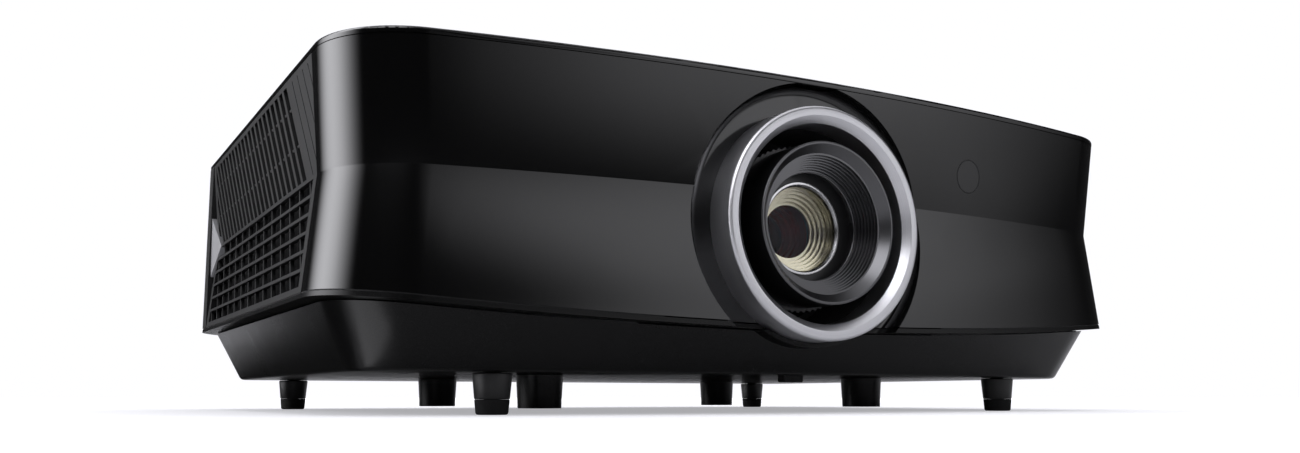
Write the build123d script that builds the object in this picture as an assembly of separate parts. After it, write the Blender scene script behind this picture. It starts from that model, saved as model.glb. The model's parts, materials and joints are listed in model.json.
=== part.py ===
from build123d import *
import math
import os

os.makedirs("parts", exist_ok=True)

# A home projector on four screw feet. X runs across, Y from the lens (-) to the rear (+), Z up.
# Sizes are in millimetres. The origin lies under the middle of the object, on the surface it stands on.

# Overall size
width = 485.0
depth = 386.0
height = 165.0

# Casing outline, at its lower edge, its waist crease and its top edge
waist_height = 107.0
waist_side_inset = 6.0
top_side_inset = 2.0
lip_front_setback = 9.0
waist_front_setback = 13.6
top_front_setback = 8.4
front_bow = 24.0
front_corner_radius = 46.0
rear_corner_radius = 10.0
wall = 2.8

# Seams between the shells
seam_height = 54.0
seam_dip = 10.8
seam_gap = 0.6
trim_height = 2.8
trim_width = 15.0
cover_thickness = 3.0
cover_edge_round = 1.4
rear_bezel_length = 24.0
panel_gap = 0.4

# Base tub
tub_bottom_z = 19.5
tub_top_inset = 6.0
tub_bottom_inset = 22.0
tub_bottom_front_inset = 21.0
tub_bottom_rear_inset = 18.0
tub_top_corner = 42.0
tub_bottom_corner = 36.0
tub_rear_corner = 14.0
tub_wall = 3.0
tub_bottom_round = 3.5

# Lens axis, bezel ring and the dish around it
lens_x = -9.5
ring_setback = 0.5
ring_outer_radius = 57.5
ring_face_radius = 52.7
ring_throat_radius = 49.2
ring_bevel_depth = 3.6
ring_edge_bevel = 0.7
ring_length = 17.0
dish_radius = 70.5
dish_round = 5.0
well_wall = 2.6
well_length = 36.0
well_flange = 2.0
well_flange_radius = 46.0
cradle_wall = 2.4
cradle_length = 13.0

# Remote-control window in the front panel
window_x = 99.0
window_z = 128.0
window_radius = 8.9
fit_gap = 0.2

# Side grille: slanted louvres above the waist, a grid below it
louvre_pitch = 11.1
louvre_bar = 4.0
louvre_slant = 0.67
louvre_front_inset = 20.0
louvre_rear_inset = 8.0
louvre_top_margin = 2.5
crease_bar = 2.0
cross_rib_spacing = 20.0
cross_ribs = 2
cross_rib = 1.2
grid_rows = 6
grid_bar = 1.6
grid_rib = 1.8
grid_front_inset = 7.0
grid_bottom_margin = 2.2
rib_recess = 0.9
groove_width = 0.9
groove_depth = 0.5

# Silver wedge at the rear end of each grille
wedge_height = 39.0
wedge_length = 15.0

# Lens: focus ring, zoom ring, barrel and glass
focus_radius = 40.0
focus_length = 24.0
focus_rim = 1.4
funnel_radius = 34.7
funnel_depth = 4.5
funnel_throat_radius = 27.2
funnel_throat_depth = 15.0
funnel_ribs = 12
funnel_rib_height = 0.5
funnel_floor = 2.5
barrel_radius = 36.0
barrel_bore = 31.0
barrel_collar = 1.4
barrel_collar_radius = 39.0
barrel_flange_radius = 41.0
barrel_flange = 4.0
rear_bore = 20.0
rear_seat = 22.0
running_gap = 0.06
side_gap = 0.4
zoom_ring_length = 10.0
zoom_ring_radius = 41.4
zoom_tooth_height = 1.0
zoom_teeth = 72
front_cell_length = 14.0
front_glass_radius = 23.0
front_glass_edge = 6.0
front_glass_bulge = 3.2
glass_land = 2.0
retainer_radius = 24.8
retainer_throat = 21.8
retainer_thickness = 1.2
cell_recess = 4.0
focus_travel = 4.0
zoom_travel = 10.0
zoom_cell_length = 14.0
cell_gap = 10.9
rear_cell_gap = 3.9
zoom_glass_radius = 20.0
zoom_glass_edge = 5.0
zoom_glass_bulge = 2.6
rear_glass_edge = 8.0
rear_glass_bulge = 2.0

# Lens-shift carriage on its rods, with a screw and a dial in the top cover
carriage_half_width = 56.0
carriage_half_height = 40.0
carriage_thickness = 12.0
carriage_window = 22.0
shift_travel = 3.0
rod_radius = 3.0
rod_spacing = 96.0
screw_radius = 2.5
screw_gap = 0.1
screw_offset = 66.0
nut_half_height = 8.0
nut_half_width = 8.0
dial_radius = 11.5
dial_height = 7.0
dial_hole_gap = 0.6
dial_recess = 0.8
dial_teeth = 36
dial_tooth_height = 0.5
dial_slot_width = 2.0
dial_slot_depth = 1.6

# Optical engine
engine_half_width = 60.0
engine_clearance = 6.0
engine_length = 100.0
engine_wall = 4.0
shelf_thickness = 10.0
shelf_clearance = 2.7
shelf_length = 20.0
motor_radius = 12.0
motor_length = 12.0
motor_setback = 26.0
shaft_radius = 2.0
wheel_radius = 26.0
wheel_thickness = 1.5
wheel_gap = 2.0
laser_width = 60.0
laser_length = 42.0
laser_height = 68.0
sink_width = 50.0
sink_length = 110.0
sink_height = 84.0
sink_base = 6.0
sink_fin = 1.6
sink_fins = 12
imager_width = 70.0
imager_height = 60.0
board_thickness = 1.6
imager_sink_depth = 24.0
imager_sink_fins = 9

# Exhaust fans beside the right grille
fan_size = 92.0
fan_depth = 20.0
fan_side_inset = 8.5
fan_front_inset = 120.0
fan_spacing = 95.0
fan_bore = 42.5
fan_hub_radius = 18.0
fan_blade_gap = 1.2
fan_blades = 7
fan_blade_thickness = 1.8
fan_blade_pitch = 38.0
fan_hole_inset = 6.0
fan_hole_radius = 2.2
fan_spoke = 3.0
fan_spokes = 3

# Boards
supply_length = 170.0
supply_width = 108.0
supply_side_inset = 16.5
supply_front_inset = 100.0
supply_rise = 7.5
main_length = 232.0
main_width = 72.0
main_x = 48.0
main_rear_inset = 20.0
main_rise = 37.5
standoff_radius = 4.0
standoff_inset = 8.0
transformer_shift = 20.0
transformer_rear = 30.0
transformer_width = 44.0
transformer_length = 40.0
transformer_height = 34.0
choke_shift = 26.0
choke_rear = 34.0
choke_width = 30.0
choke_length = 34.0
choke_height = 26.0
plate_shift = 40.0
plate_rear = 40.0
plate_thickness = 5.0
plate_length = 70.0
plate_height = 40.0
capacitors = 3
capacitor_shift = 30.0
capacitor_rear = 60.0
capacitor_pitch = 24.0
capacitor_radius = 9.0
capacitor_height = 30.0
can_shift = 8.0
can_width = 52.0
chip_shift = 70.0
chip_width = 34.0
chip_length = 32.0
chip_height = 4.0
chip_setback = 10.0

# Sockets in the rear panel
inlet_side_inset = 77.5
inlet_z = 80.0
inlet_width = 30.0
inlet_height = 23.0
inlet_depth = 25.0
inlet_cavity_width = 24.5
inlet_cavity_height = 16.5
inlet_cavity_depth = 17.0
pin_width = 2.0
pin_height = 4.0
pin_spacing = 14.0
pin_length = 13.0
port_depth = 28.0
port_wall = 0.8
port_tongue = 1.6
port_proud = 0.2
video_width = 15.0
video_height = 6.0
video_shift = 68.0
video_pitch = 24.0
data_width = 14.0
data_height = 7.0
data_shift = 18.0
network_width = 16.0
network_height = 13.5
network_shift = 8.0
serial_width = 31.0
serial_height = 12.5
serial_shift = 42.0
bay_margin = 6.0
jacks = 3
jack_shift = 74.0
jack_pitch = 14.0
jack_radius = 4.0
jack_bore = 1.8
lock_slot_width = 7.0
lock_slot_height = 3.2
lock_slot_inset = 37.5

# Keypad in the top cover
keypad_side_inset = 90.5
keypad_rear_inset = 86.0
keypad_boss_inset = 4.0
keypad_recess = 0.8
keypad_width = 84.0
keypad_length = 50.0
keypad_corner = 6.0
key_pitch = 14.5
key_radius = 5.6
key_proud = 0.6
key_gap = 0.35
key_flange = 1.2
key_flange_height = 2.0
key_travel = 0.5
key_column_x = 28.0
switch_radius = 2.5
keypad_board_drop = 8.0
light_radius = 1.4
light_pitch = 6.0
light_shift = 4.0
light_row = 18.0
boss_radius = 3.0

# Screw feet and ceiling-mount posts
foot_front_side_inset = 60.5
foot_front_inset = 27.0
foot_rear_side_inset = 33.5
foot_rear_inset = 15.0
foot_top_radius = 9.25
foot_low_radius = 8.1
foot_stud_radius = 4.0
foot_stud_hold = 10.0
foot_boss_radius = 8.0
foot_thread_gap = 0.1
foot_travel = 12.0
pad_height = 7.0
pad_low_radius = 7.4
pad_spigot_radius = 4.0
pad_spigot_depth = 3.0
turn_gap = 0.3
post_x = 108.75
post_front_y = -73.0
post_rear_y = 93.0
post_top_radius = 12.5
post_low_radius = 11.5
post_bottom_z = 2.2
insert_radius = 3.5
insert_bore = 2.0
insert_length = 12.0

# Case screws and the tie bar under the front edge
case_screw_side_inset = 35.5
case_screw_front_y = -80.0
case_screw_rear_y = 60.0
case_screw_x = 30.0
case_screw_end_inset = 20.0
case_screw_radius = 1.5
case_head_radius = 3.0
case_head_height = 1.8
case_boss_height = 5.0
tie_bar_x = 8.0
tie_bar_front_inset = 24.0
tie_bar_width = 12.0
tie_bar_thickness = 3.0
tie_bar_drop = 3.6

# Levels worked out from the sizes above
front_y = -depth / 2
rear_y = depth / 2
lip_half = width / 2
waist_half = lip_half - waist_side_inset
top_half = lip_half - top_side_inset
tub_half = lip_half - tub_bottom_inset
waist_front_y = front_y + waist_front_setback
top_front_y = front_y + top_front_setback
tub_front_y = front_y + lip_front_setback + tub_bottom_front_inset
tub_rear_y = rear_y - tub_bottom_rear_inset
lip_z = seam_height - trim_height
cover_z = height - cover_thickness
panel_top_z = cover_z - panel_gap
ring_front_y = front_y + ring_setback
dish_floor_y = ring_front_y + ring_length
floor_z = tub_bottom_z + tub_wall
lens_z = (floor_z + cover_z) / 2
tub_top_offset = -trim_height - seam_gap
supply_x = supply_width / 2 + supply_side_inset - tub_half
supply_y = tub_front_y + supply_front_inset + supply_length / 2
supply_z = floor_z + supply_rise
main_y = rear_y - main_rear_inset - main_width / 2
main_z = floor_z + main_rise
far = 2 * width


def corner_end(half, front, corner):
    """Centre of the bowed front's circle, and the Y where a round corner meets the straight side."""
    bow_radius = (half ** 2 + front_bow ** 2) / (2 * front_bow)
    reach = math.sqrt((bow_radius - corner) ** 2 - (half - corner) ** 2)
    return bow_radius, front + bow_radius - reach


def outline(z, half, front, rear, corner, rear_corner):
    """Outline at height z: a bowed front, round corners, straight sides and a straight rear."""
    bow_radius, corner_y = corner_end(half, front, corner)
    bow_centre = front + bow_radius
    corner_x = half - corner
    share = bow_radius / (bow_radius - corner)
    blend_x = corner_x * share
    blend_y = bow_centre + (corner_y - bow_centre) * share
    turn = math.atan2(blend_y - corner_y, blend_x - corner_x) / 2
    mid_x = corner_x + corner * math.cos(turn)
    mid_y = corner_y + corner * math.sin(turn)
    back = rear - rear_corner
    side = half - rear_corner
    slope = rear_corner * math.sqrt(0.5)
    edges = [
        Line((half, corner_y), (half, back)),
        ThreePointArc((half, back), (side + slope, back + slope), (side, rear)),
        Line((side, rear), (-side, rear)),
        ThreePointArc((-side, rear), (-side - slope, back + slope), (-half, back)),
        Line((-half, back), (-half, corner_y)),
        ThreePointArc((-half, corner_y), (-mid_x, mid_y), (-blend_x, blend_y)),
        ThreePointArc((-blend_x, blend_y), (0, front), (blend_x, blend_y)),
        ThreePointArc((blend_x, blend_y), (mid_x, mid_y), (half, corner_y)),
    ]
    return Pos(0, 0, z) * make_face(edges)


def casing(inset, waisted=True):
    """Solid inside the casing's outer face moved in by inset, with the waist crease or straight-sided."""
    low_z = tub_bottom_z
    drop = (waist_height - low_z) / (waist_height - lip_z)
    low_half = waist_half + waist_side_inset * drop
    low_front = waist_front_y - (waist_front_setback - lip_front_setback) * drop
    if not waisted:
        straight = top_side_inset / (height - lip_z)
        low_half = top_half + straight * (height - low_z)
    corner = front_corner_radius - inset
    rear_corner = rear_corner_radius - min(inset, rear_corner_radius / 2)
    rear = rear_y - inset
    low = outline(low_z, low_half - inset, low_front + inset, rear, corner, rear_corner)
    middle = outline(waist_height, waist_half - inset, waist_front_y + inset, rear, corner, rear_corner)
    top = outline(height, top_half - inset, top_front_y + inset, rear, corner, rear_corner)
    return loft([low, middle, top] if waisted else [low, top], ruled=True)


def above_seam(offset):
    """Everything above the seam, whose line dips to the middle of the object, moved up by offset."""
    level = seam_height + offset
    edges = [
        Line((-far, level), (-lip_half, level)),
        ThreePointArc((-lip_half, level), (0, level - seam_dip), (lip_half, level)),
        Line((lip_half, level), (far, level)),
        Line((far, level), (far, far)),
        Line((far, far), (-far, far)),
        Line((-far, far), (-far, level)),
    ]
    return extrude(Plane.XZ * make_face(edges), far, both=True)


def block(x_span, y_span, z_span):
    """Box between pairs of limits."""
    size = [abs(span[1] - span[0]) for span in (x_span, y_span, z_span)]
    centre = [(span[0] + span[1]) / 2 for span in (x_span, y_span, z_span)]
    return Pos(*centre) * Box(*size)


def upright(x, y, z_low, z_high, radius, top_radius=None):
    """Vertical cylinder, or a cone where the top has another radius."""
    length = z_high - z_low
    place = Pos(x, y, (z_low + z_high) / 2)
    if top_radius is None:
        return place * Cylinder(radius, length)
    return place * Cone(radius, top_radius, length)


def turned(profile):
    """Solid of revolution about the lens axis, from a face drawn as radius and Y."""
    return Pos(lens_x, 0, lens_z) * revolve(profile, Axis.Y)


def turned_points(points):
    """Solid of revolution about the lens axis, from corner points of radius and Y."""
    return turned(make_face(Polyline(*points, close=True)))


def tube(inner, outer, y_low, y_high):
    """Plain tube on the lens axis."""
    return turned_points([(inner, y_low), (outer, y_low), (outer, y_high), (inner, y_high)])


def lens_disc(radius, y_front, y_back, bulge):
    """Glass disc with a flat land at its edge, whose two faces bulge outwards inside the land."""
    clear = radius - glass_land
    ball = (clear ** 2 + bulge ** 2) / (2 * bulge)
    half_rise = bulge - ball + math.sqrt(ball ** 2 - clear ** 2 / 4)
    edges = [
        Line((0, y_front - bulge), (0, y_back + bulge)),
        ThreePointArc((0, y_back + bulge), (clear / 2, y_back + half_rise), (clear, y_back)),
        Line((clear, y_back), (radius, y_back)),
        Line((radius, y_back), (radius, y_front)),
        Line((radius, y_front), (clear, y_front)),
        ThreePointArc((clear, y_front), (clear / 2, y_front - half_rise), (0, y_front - bulge)),
    ]
    return turned(make_face(edges))


def toothed(radius, tooth_height, teeth):
    """Round face with pointed teeth on its rim."""
    steps = 2 * teeth
    points = []
    for step in range(steps):
        reach = radius + tooth_height * (step % 2)
        angle = 2 * math.pi * step / steps
        points.append((reach * math.cos(angle), reach * math.sin(angle)))
    return make_face(Polyline(*points, close=True))


def write(name, shape):
    """Save one node."""
    shape.label = name
    export_step(shape, f"parts/{name}.step")


# Casing shells
grille_front_y = corner_end(waist_half, waist_front_y, front_corner_radius)[1] + panel_gap
grille_rear_y = rear_y - rear_bezel_length
louvre_front_y = grille_front_y + louvre_front_inset
louvre_rear_y = grille_rear_y - louvre_rear_inset
grid_front_y = grille_front_y + grid_front_inset
grille_low_y = grille_front_y + panel_gap / 2
grille_high_y = grille_rear_y - panel_gap / 2
outer = casing(0)
inner = casing(wall)
shell = outer - inner
panel_band = above_seam(0) & block((-far, far), (-far, far), (0, panel_top_z))
shell_band = shell & panel_band


def dish(inset):
    """Solid that hollows the round dish, its floor and wall moved back and out by inset."""
    reach = dish_radius + inset
    floor = dish_floor_y + inset
    floor_reach = reach - dish_round
    bend = dish_round * (1 - math.sqrt(0.5))
    edges = [
        Line((0, -far), (reach, -far)),
        Line((reach, -far), (reach, floor - dish_round)),
        ThreePointArc((reach, floor - dish_round), (reach - bend, floor - bend), (floor_reach, floor)),
        Line((floor_reach, floor), (0, floor)),
        Line((0, floor), (0, -far)),
    ]
    return turned(make_face(edges))


def window_plug(radius):
    """Cylinder through the front wall at the remote-control window."""
    return Pos(window_x, front_y, window_z) * Rot(90, 0, 0) * Cylinder(radius, depth / 2)


dish_cut = dish(0)
well_radius = ring_throat_radius + well_wall
well_hole = tube(0, well_radius + fit_gap, -far, 0)


def make_front_panel():
    """Gloss front that wraps round both corners, with the dish and its floor around the lens."""
    before_grille = block((-far, far), (-far, grille_front_y - panel_gap / 2), (0, height))
    dish_body = (dish(wall) - dish_cut) & panel_band & outer
    panel = (shell_band & before_grille) - dish_cut + dish_body
    return panel - well_hole - window_plug(window_radius + fit_gap)


def make_window():
    """Round dark window, flush with the curved front."""
    return shell_band & window_plug(window_radius)


def slanted_strip(y_at_waist, strip, z_low, z_high):
    """Strip in the side's plane that leans back as it rises."""
    low = y_at_waist + louvre_slant * (z_low - waist_height)
    high = y_at_waist + louvre_slant * (z_high - waist_height)
    half = strip / 2
    points = [(low - half, z_low), (low + half, z_low), (high + half, z_high), (high - half, z_high)]
    return make_face(Polyline(*points, close=True))


def through_left_side(sketch):
    """Prism of a side-plane sketch through the left half of the object."""
    return extrude(Plane.YZ * sketch, -width)


def side_slab(outer_inset, inner_inset):
    """Creased left wall between two depths below its outer face, from the front panel to the rear bezel."""
    rise = (panel_top_z - waist_height) / (height - waist_height)
    fall = (waist_height - seam_height) / (waist_height - lip_z)
    line = [
        (waist_half + (lip_half - waist_half) * fall, seam_height),
        (waist_half, waist_height),
        (waist_half + (top_half - waist_half) * rise, panel_top_z),
    ]
    points = [(outer_inset - x, z) for x, z in line] + [(inner_inset - x, z) for x, z in reversed(line)]
    section = make_face(Polyline(*points, close=True))
    slab = extrude(Plane.XZ * section, -(grille_high_y - grille_low_y))
    return Pos(0, grille_low_y, 0) * slab


def grille_openings():
    """Side-plane sketch of the open louvres above the crease and the rows of the grid below it."""
    gap = louvre_pitch - louvre_bar
    low = waist_height + crease_bar / 2
    high = panel_top_z - louvre_top_margin
    count = math.ceil((louvre_rear_y - louvre_front_y) / louvre_pitch)
    openings = Sketch()
    for index in range(count):
        openings += slanted_strip(louvre_front_y + gap / 2 + index * louvre_pitch, gap, low, high)
    span = louvre_rear_y - louvre_front_y
    openings &= Pos(louvre_front_y + span / 2, waist_height) * Rectangle(span, height)
    row = (waist_height - seam_height - grid_bottom_margin) / grid_rows
    span = louvre_rear_y - grid_front_y
    for index in range(grid_rows):
        middle = waist_height - crease_bar / 2 - (index + 0.5) * row + grid_bar / 2
        openings += Pos(grid_front_y + span / 2, middle) * Rectangle(span, row - grid_bar)
    return openings


def grille_ribs():
    """Side-plane sketch of the ribs behind the openings, level in the louvres and slanted in the grid."""
    span = louvre_rear_y - grille_low_y
    middle = grille_low_y + span / 2
    ribs = Sketch()
    for index in range(cross_ribs):
        ribs += Pos(middle, waist_height + (index + 1) * cross_rib_spacing) * Rectangle(span, cross_rib)
    lead = math.ceil(louvre_front_inset / louvre_pitch / 2) * 2
    lean = louvre_slant * (waist_height - seam_height)
    count = math.ceil((louvre_rear_y - louvre_front_y + lean) / louvre_pitch)
    for index in range(-lead, count, 2):
        y = louvre_front_y - louvre_bar / 2 + index * louvre_pitch
        ribs += slanted_strip(y, grid_rib, seam_height, waist_height)
    return ribs & Pos(middle, waist_height) * Rectangle(span, height)


def make_left_grille():
    """Side wall with slanted open louvres, a grid below the crease, and blind grooves at the front end."""
    panel = side_slab(0, wall) - through_left_side(grille_openings())
    panel += side_slab(rib_recess, wall) & through_left_side(grille_ribs())
    low = waist_height + crease_bar / 2
    high = panel_top_z - louvre_top_margin
    lead = math.ceil((louvre_front_inset + louvre_slant * (high - low)) / louvre_pitch)
    grooves = Sketch()
    for index in range(1, lead):
        y = louvre_front_y - louvre_bar / 2 - index * louvre_pitch
        grooves += slanted_strip(y, groove_width, low, high)
    return panel - (side_slab(0, groove_depth) & through_left_side(grooves))


def make_left_wedge():
    """Silver wedge that fills the end of the crease, pointed along it, against the rear bezel."""
    rear = grille_high_y
    edge = top_half
    crease = waist_half
    back = crease - wall
    low = waist_height - wedge_height / 2
    high = waist_height + wedge_height / 2
    corners = [
        (-edge, rear, low),
        (-edge, rear, high),
        (-crease, rear - wedge_length, waist_height),
        (-back, rear, low),
        (-back, rear, high),
        (-back, rear - wedge_length, waist_height),
    ]
    return ConvexPolyhedron(corners)


ports = (
    (main_x - video_shift, video_width, video_height),
    (main_x - video_shift + video_pitch, video_width, video_height),
    (main_x - data_shift, data_width, data_height),
)
network_x = main_x + network_shift
serial_x = main_x + serial_shift
jack_places = [main_x + jack_shift + index * jack_pitch for index in range(jacks)]
inlet_x = inlet_side_inset - lip_half
lock_slot_x = lip_half - lock_slot_inset
port_floor_z = main_z + board_thickness
inside_rear = rear_y - wall
bay_low_x = network_x - network_width / 2 - bay_margin
bay_high_x = serial_x + serial_width / 2 + bay_margin
bay_middle_x = (network_x + network_width / 2 + serial_x - serial_width / 2) / 2
bay_low_z = port_floor_z - bay_margin
bay_high_z = port_floor_z + network_height + bay_margin


def make_rear_panel():
    """Rear bezel with the socket openings and one bay for the two flanged sockets; its sides run straight."""
    straight_shell = casing(0, waisted=False) - casing(wall, waisted=False)
    behind = block((-far, far), (grille_rear_y + panel_gap / 2, far), (0, height))
    panel = straight_shell & panel_band & behind
    cuts = [block(
        (inlet_x - inlet_width / 2 - fit_gap, inlet_x + inlet_width / 2 + fit_gap),
        (inside_rear - wall, far),
        (inlet_z - inlet_height / 2 - fit_gap, inlet_z + inlet_height / 2 + fit_gap),
    )]
    cuts.append(block((bay_low_x, bay_high_x), (inside_rear - wall, far), (bay_low_z, bay_high_z)))
    for x, across, tall in ports:
        cuts.append(block(
            (x - across / 2 - fit_gap, x + across / 2 + fit_gap),
            (inside_rear - wall, far),
            (port_floor_z - fit_gap, port_floor_z + tall + fit_gap),
        ))
    for x in jack_places:
        hole = Cylinder(jack_radius + fit_gap, 4 * wall)
        cuts.append(Pos(x, rear_y, port_floor_z + jack_radius) * Rot(90, 0, 0) * hole)
    slot = SlotOverall(lock_slot_width, lock_slot_height)
    cuts.append(Pos(lock_slot_x, rear_y, inlet_z) * extrude(Plane.XZ * slot, 2 * wall, both=True))
    for cut in cuts:
        panel -= cut
    return panel


def make_trim():
    """Thin frame between the tub and the shells, following the dipped seam and stopped by the dish."""
    band = above_seam(-trim_height) - above_seam(-seam_gap)
    return ((outer - casing(trim_width)) & band) - dish_cut - well_hole


def tub_body(inset):
    """Tub with sloping walls and large corners, moved in by inset."""
    top_z = seam_height
    low = outline(
        tub_bottom_z + inset,
        tub_half - inset,
        tub_front_y + inset,
        tub_rear_y - inset,
        tub_bottom_corner - inset,
        tub_rear_corner - inset,
    )
    top = outline(
        top_z,
        lip_half - tub_top_inset - inset,
        front_y + lip_front_setback + tub_top_inset + inset,
        rear_y - tub_top_inset - inset,
        tub_top_corner - inset,
        tub_rear_corner - inset,
    )
    return loft([low, top], ruled=True)


foot_front = (tub_half - foot_front_side_inset, tub_front_y + foot_front_inset)
foot_rear = (tub_half - foot_rear_side_inset, tub_rear_y - foot_rear_inset)
feet = {}
for end, (x, y) in (("front", foot_front), ("rear", foot_rear)):
    feet[f"{end}_left"] = (-x, y)
    feet[f"{end}_right"] = (x, y)
posts = [(side * post_x, y) for side in (-1, 1) for y in (post_front_y, post_rear_y)]
screw_places = (
    (tub_half - case_screw_side_inset, case_screw_front_y),
    (tub_half - case_screw_side_inset, case_screw_rear_y),
    (case_screw_x, tub_front_y + case_screw_end_inset),
    (case_screw_x, tub_rear_y - case_screw_end_inset),
)
screws = [(side * x, y) for side in (-1, 1) for x, y in screw_places]
foot_top_z = tub_bottom_z - turn_gap
stud_top_z = foot_top_z + foot_travel + foot_stud_hold


def board_corners(x, y, length, across, inset=standoff_inset):
    """Places of a board's four standoffs."""
    reach_x = length / 2 - inset
    reach_y = across / 2 - inset
    return [(x + i * reach_x, y + j * reach_y) for i in (-1, 1) for j in (-1, 1)]


supply_corners = board_corners(supply_x, supply_y, supply_width, supply_length)
main_corners = board_corners(main_x, main_y, main_length, main_width)


def make_tub():
    """Base tub with the posts, the foot bosses, the board standoffs and the cradle under the bezel."""
    below = above_seam(tub_top_offset)
    solid = tub_body(0)
    bottom_edges = solid.faces().sort_by(Axis.Z)[0].edges()
    solid = fillet(bottom_edges, tub_bottom_round)
    tub = (solid - tub_body(tub_wall)) - below
    cradle_front = dish_floor_y - tub_wall
    cradle_radius = ring_outer_radius + turn_gap
    cradle = tube(cradle_radius, cradle_radius + cradle_wall, cradle_front, cradle_front + cradle_length)
    tub += cradle - below
    for x, y in posts:
        tub += upright(x, y, post_bottom_z, tub_bottom_z + tub_wall / 2, post_low_radius, post_top_radius)
    for x, y in feet.values():
        tub += upright(x, y, tub_bottom_z + tub_wall / 2, stud_top_z + turn_gap, foot_boss_radius)
    for x, y in supply_corners:
        tub += upright(x, y, tub_bottom_z + tub_wall / 2, supply_z, standoff_radius)
    for x, y in main_corners:
        tub += upright(x, y, tub_bottom_z + tub_wall / 2, main_z, standoff_radius)
    for x, y in screws:
        tub += upright(x, y, tub_bottom_z + tub_wall / 2, floor_z + case_boss_height, case_head_radius)
    for x, y in posts:
        tub -= upright(x, y, 0, post_bottom_z + insert_length, insert_radius)
    for x, y in feet.values():
        tub -= upright(x, y, 0, far, foot_stud_radius + foot_thread_gap)
    for x, y in screws:
        tub -= upright(x, y, 0, tub_bottom_z + case_head_height, case_head_radius)
        tub -= upright(x, y, 0, far, case_screw_radius)
    return tub


def make_top_cover():
    """Flat lid with a rounded edge, the keypad recess and the hole for the lens-shift dial."""
    lid = outer & block((-far, far), (-far, far), (cover_z, height))
    rim = lid.faces().sort_by(Axis.Z)[-1].edges()
    lid = fillet(rim, cover_edge_round)
    recess = RectangleRounded(keypad_width, keypad_length, keypad_corner)
    lid -= Pos(keypad_x, keypad_y, height - keypad_recess) * extrude(recess, keypad_recess)
    for x, y in key_places.values():
        lid -= upright(x, y, 0, far, key_radius + key_gap)
    for x, y in light_places:
        lid -= upright(x, y, 0, far, light_radius)
    lid -= upright(dial_x, dial_y, 0, far, dial_radius + dial_tooth_height + dial_hole_gap)
    for x, y in keypad_bosses:
        lid += upright(x, y, keypad_board_z + board_thickness, cover_z, boss_radius)
    return lid


# Keypad
keys = {
    "up_button": (0, 1),
    "down_button": (0, -1),
    "left_button": (-1, 0),
    "right_button": (1, 0),
    "enter_button": (0, 0),
}
keypad_x = top_half - keypad_side_inset
keypad_y = rear_y - keypad_rear_inset
keypad_board_z = cover_z - keypad_board_drop
pad_x = keypad_x + key_column_x / 2
key_places = {name: (pad_x + i * key_pitch, keypad_y + j * key_pitch) for name, (i, j) in keys.items()}
key_places["power_button"] = (keypad_x - key_column_x, keypad_y + key_pitch / 2)
key_places["menu_button"] = (keypad_x - key_column_x, keypad_y - key_pitch / 2)
light_x = keypad_x - key_column_x + light_shift
light_places = [(light_x + i * light_pitch, keypad_y + light_row) for i in (-1, 0, 1)]
keypad_bosses = board_corners(keypad_x, keypad_y, keypad_width, keypad_length, keypad_boss_inset)
key_top_z = height - keypad_recess + key_proud
key_flange_top = cover_z - turn_gap
key_flange_low = key_flange_top - key_flange_height
switch_top_z = key_flange_low - key_travel - turn_gap


def make_button(x, y):
    """Round key cap with a flange that keeps it under the cover."""
    cap = upright(x, y, key_flange_low, key_top_z, key_radius)
    cap = fillet(cap.edges().sort_by(Axis.Z)[-1:], key_proud)
    return cap + upright(x, y, key_flange_low, key_flange_top, key_radius + key_flange)


def make_keypad_board():
    """Board under the keys with one switch for each."""
    board = block(
        (keypad_x - keypad_width / 2, keypad_x + keypad_width / 2),
        (keypad_y - keypad_length / 2, keypad_y + keypad_length / 2),
        (keypad_board_z, keypad_board_z + board_thickness),
    )
    for x, y in key_places.values():
        board += upright(x, y, keypad_board_z + board_thickness, switch_top_z, switch_radius)
    return board


def make_status_lights():
    """Three light pipes that rise from the keypad board to the cover's recess."""
    low = keypad_board_z + board_thickness
    return Compound([upright(x, y, low, height - keypad_recess, light_radius) for x, y in light_places])


# Lens
def make_ring():
    """Metal bezel with a flat face, an inner bevel and a small outer bevel."""
    return turned_points([
        (ring_face_radius, ring_front_y),
        (ring_outer_radius - ring_edge_bevel, ring_front_y),
        (ring_outer_radius, ring_front_y + ring_edge_bevel),
        (ring_outer_radius, dish_floor_y),
        (ring_throat_radius, dish_floor_y),
        (ring_throat_radius, ring_front_y + ring_bevel_depth),
    ])


def make_well():
    """Dark tube behind the bezel, turned in at its rear end."""
    end = dish_floor_y + well_length
    return turned_points([
        (ring_throat_radius, dish_floor_y),
        (well_radius, dish_floor_y),
        (well_radius, end),
        (well_flange_radius, end),
        (well_flange_radius, end - well_flange),
        (ring_throat_radius, end - well_flange),
    ])


ring_seat_y = front_y + funnel_throat_depth + funnel_floor
barrel_front_y = ring_seat_y + side_gap
front_cell_y = barrel_front_y + cell_recess + retainer_thickness
zoom_cell_y = front_cell_y + front_cell_length + focus_travel + cell_gap
rear_step_y = zoom_cell_y + zoom_cell_length + zoom_travel + rear_cell_gap
barrel_end_y = rear_step_y + 2 * rear_glass_edge + barrel_flange
focus_end_y = front_y + focus_length
collar_y = focus_end_y + side_gap
zoom_front_y = collar_y + barrel_collar + side_gap
zoom_end_y = zoom_front_y + zoom_ring_length
rear_collar_y = zoom_end_y + side_gap
sleeve_radius = barrel_radius + running_gap


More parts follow.
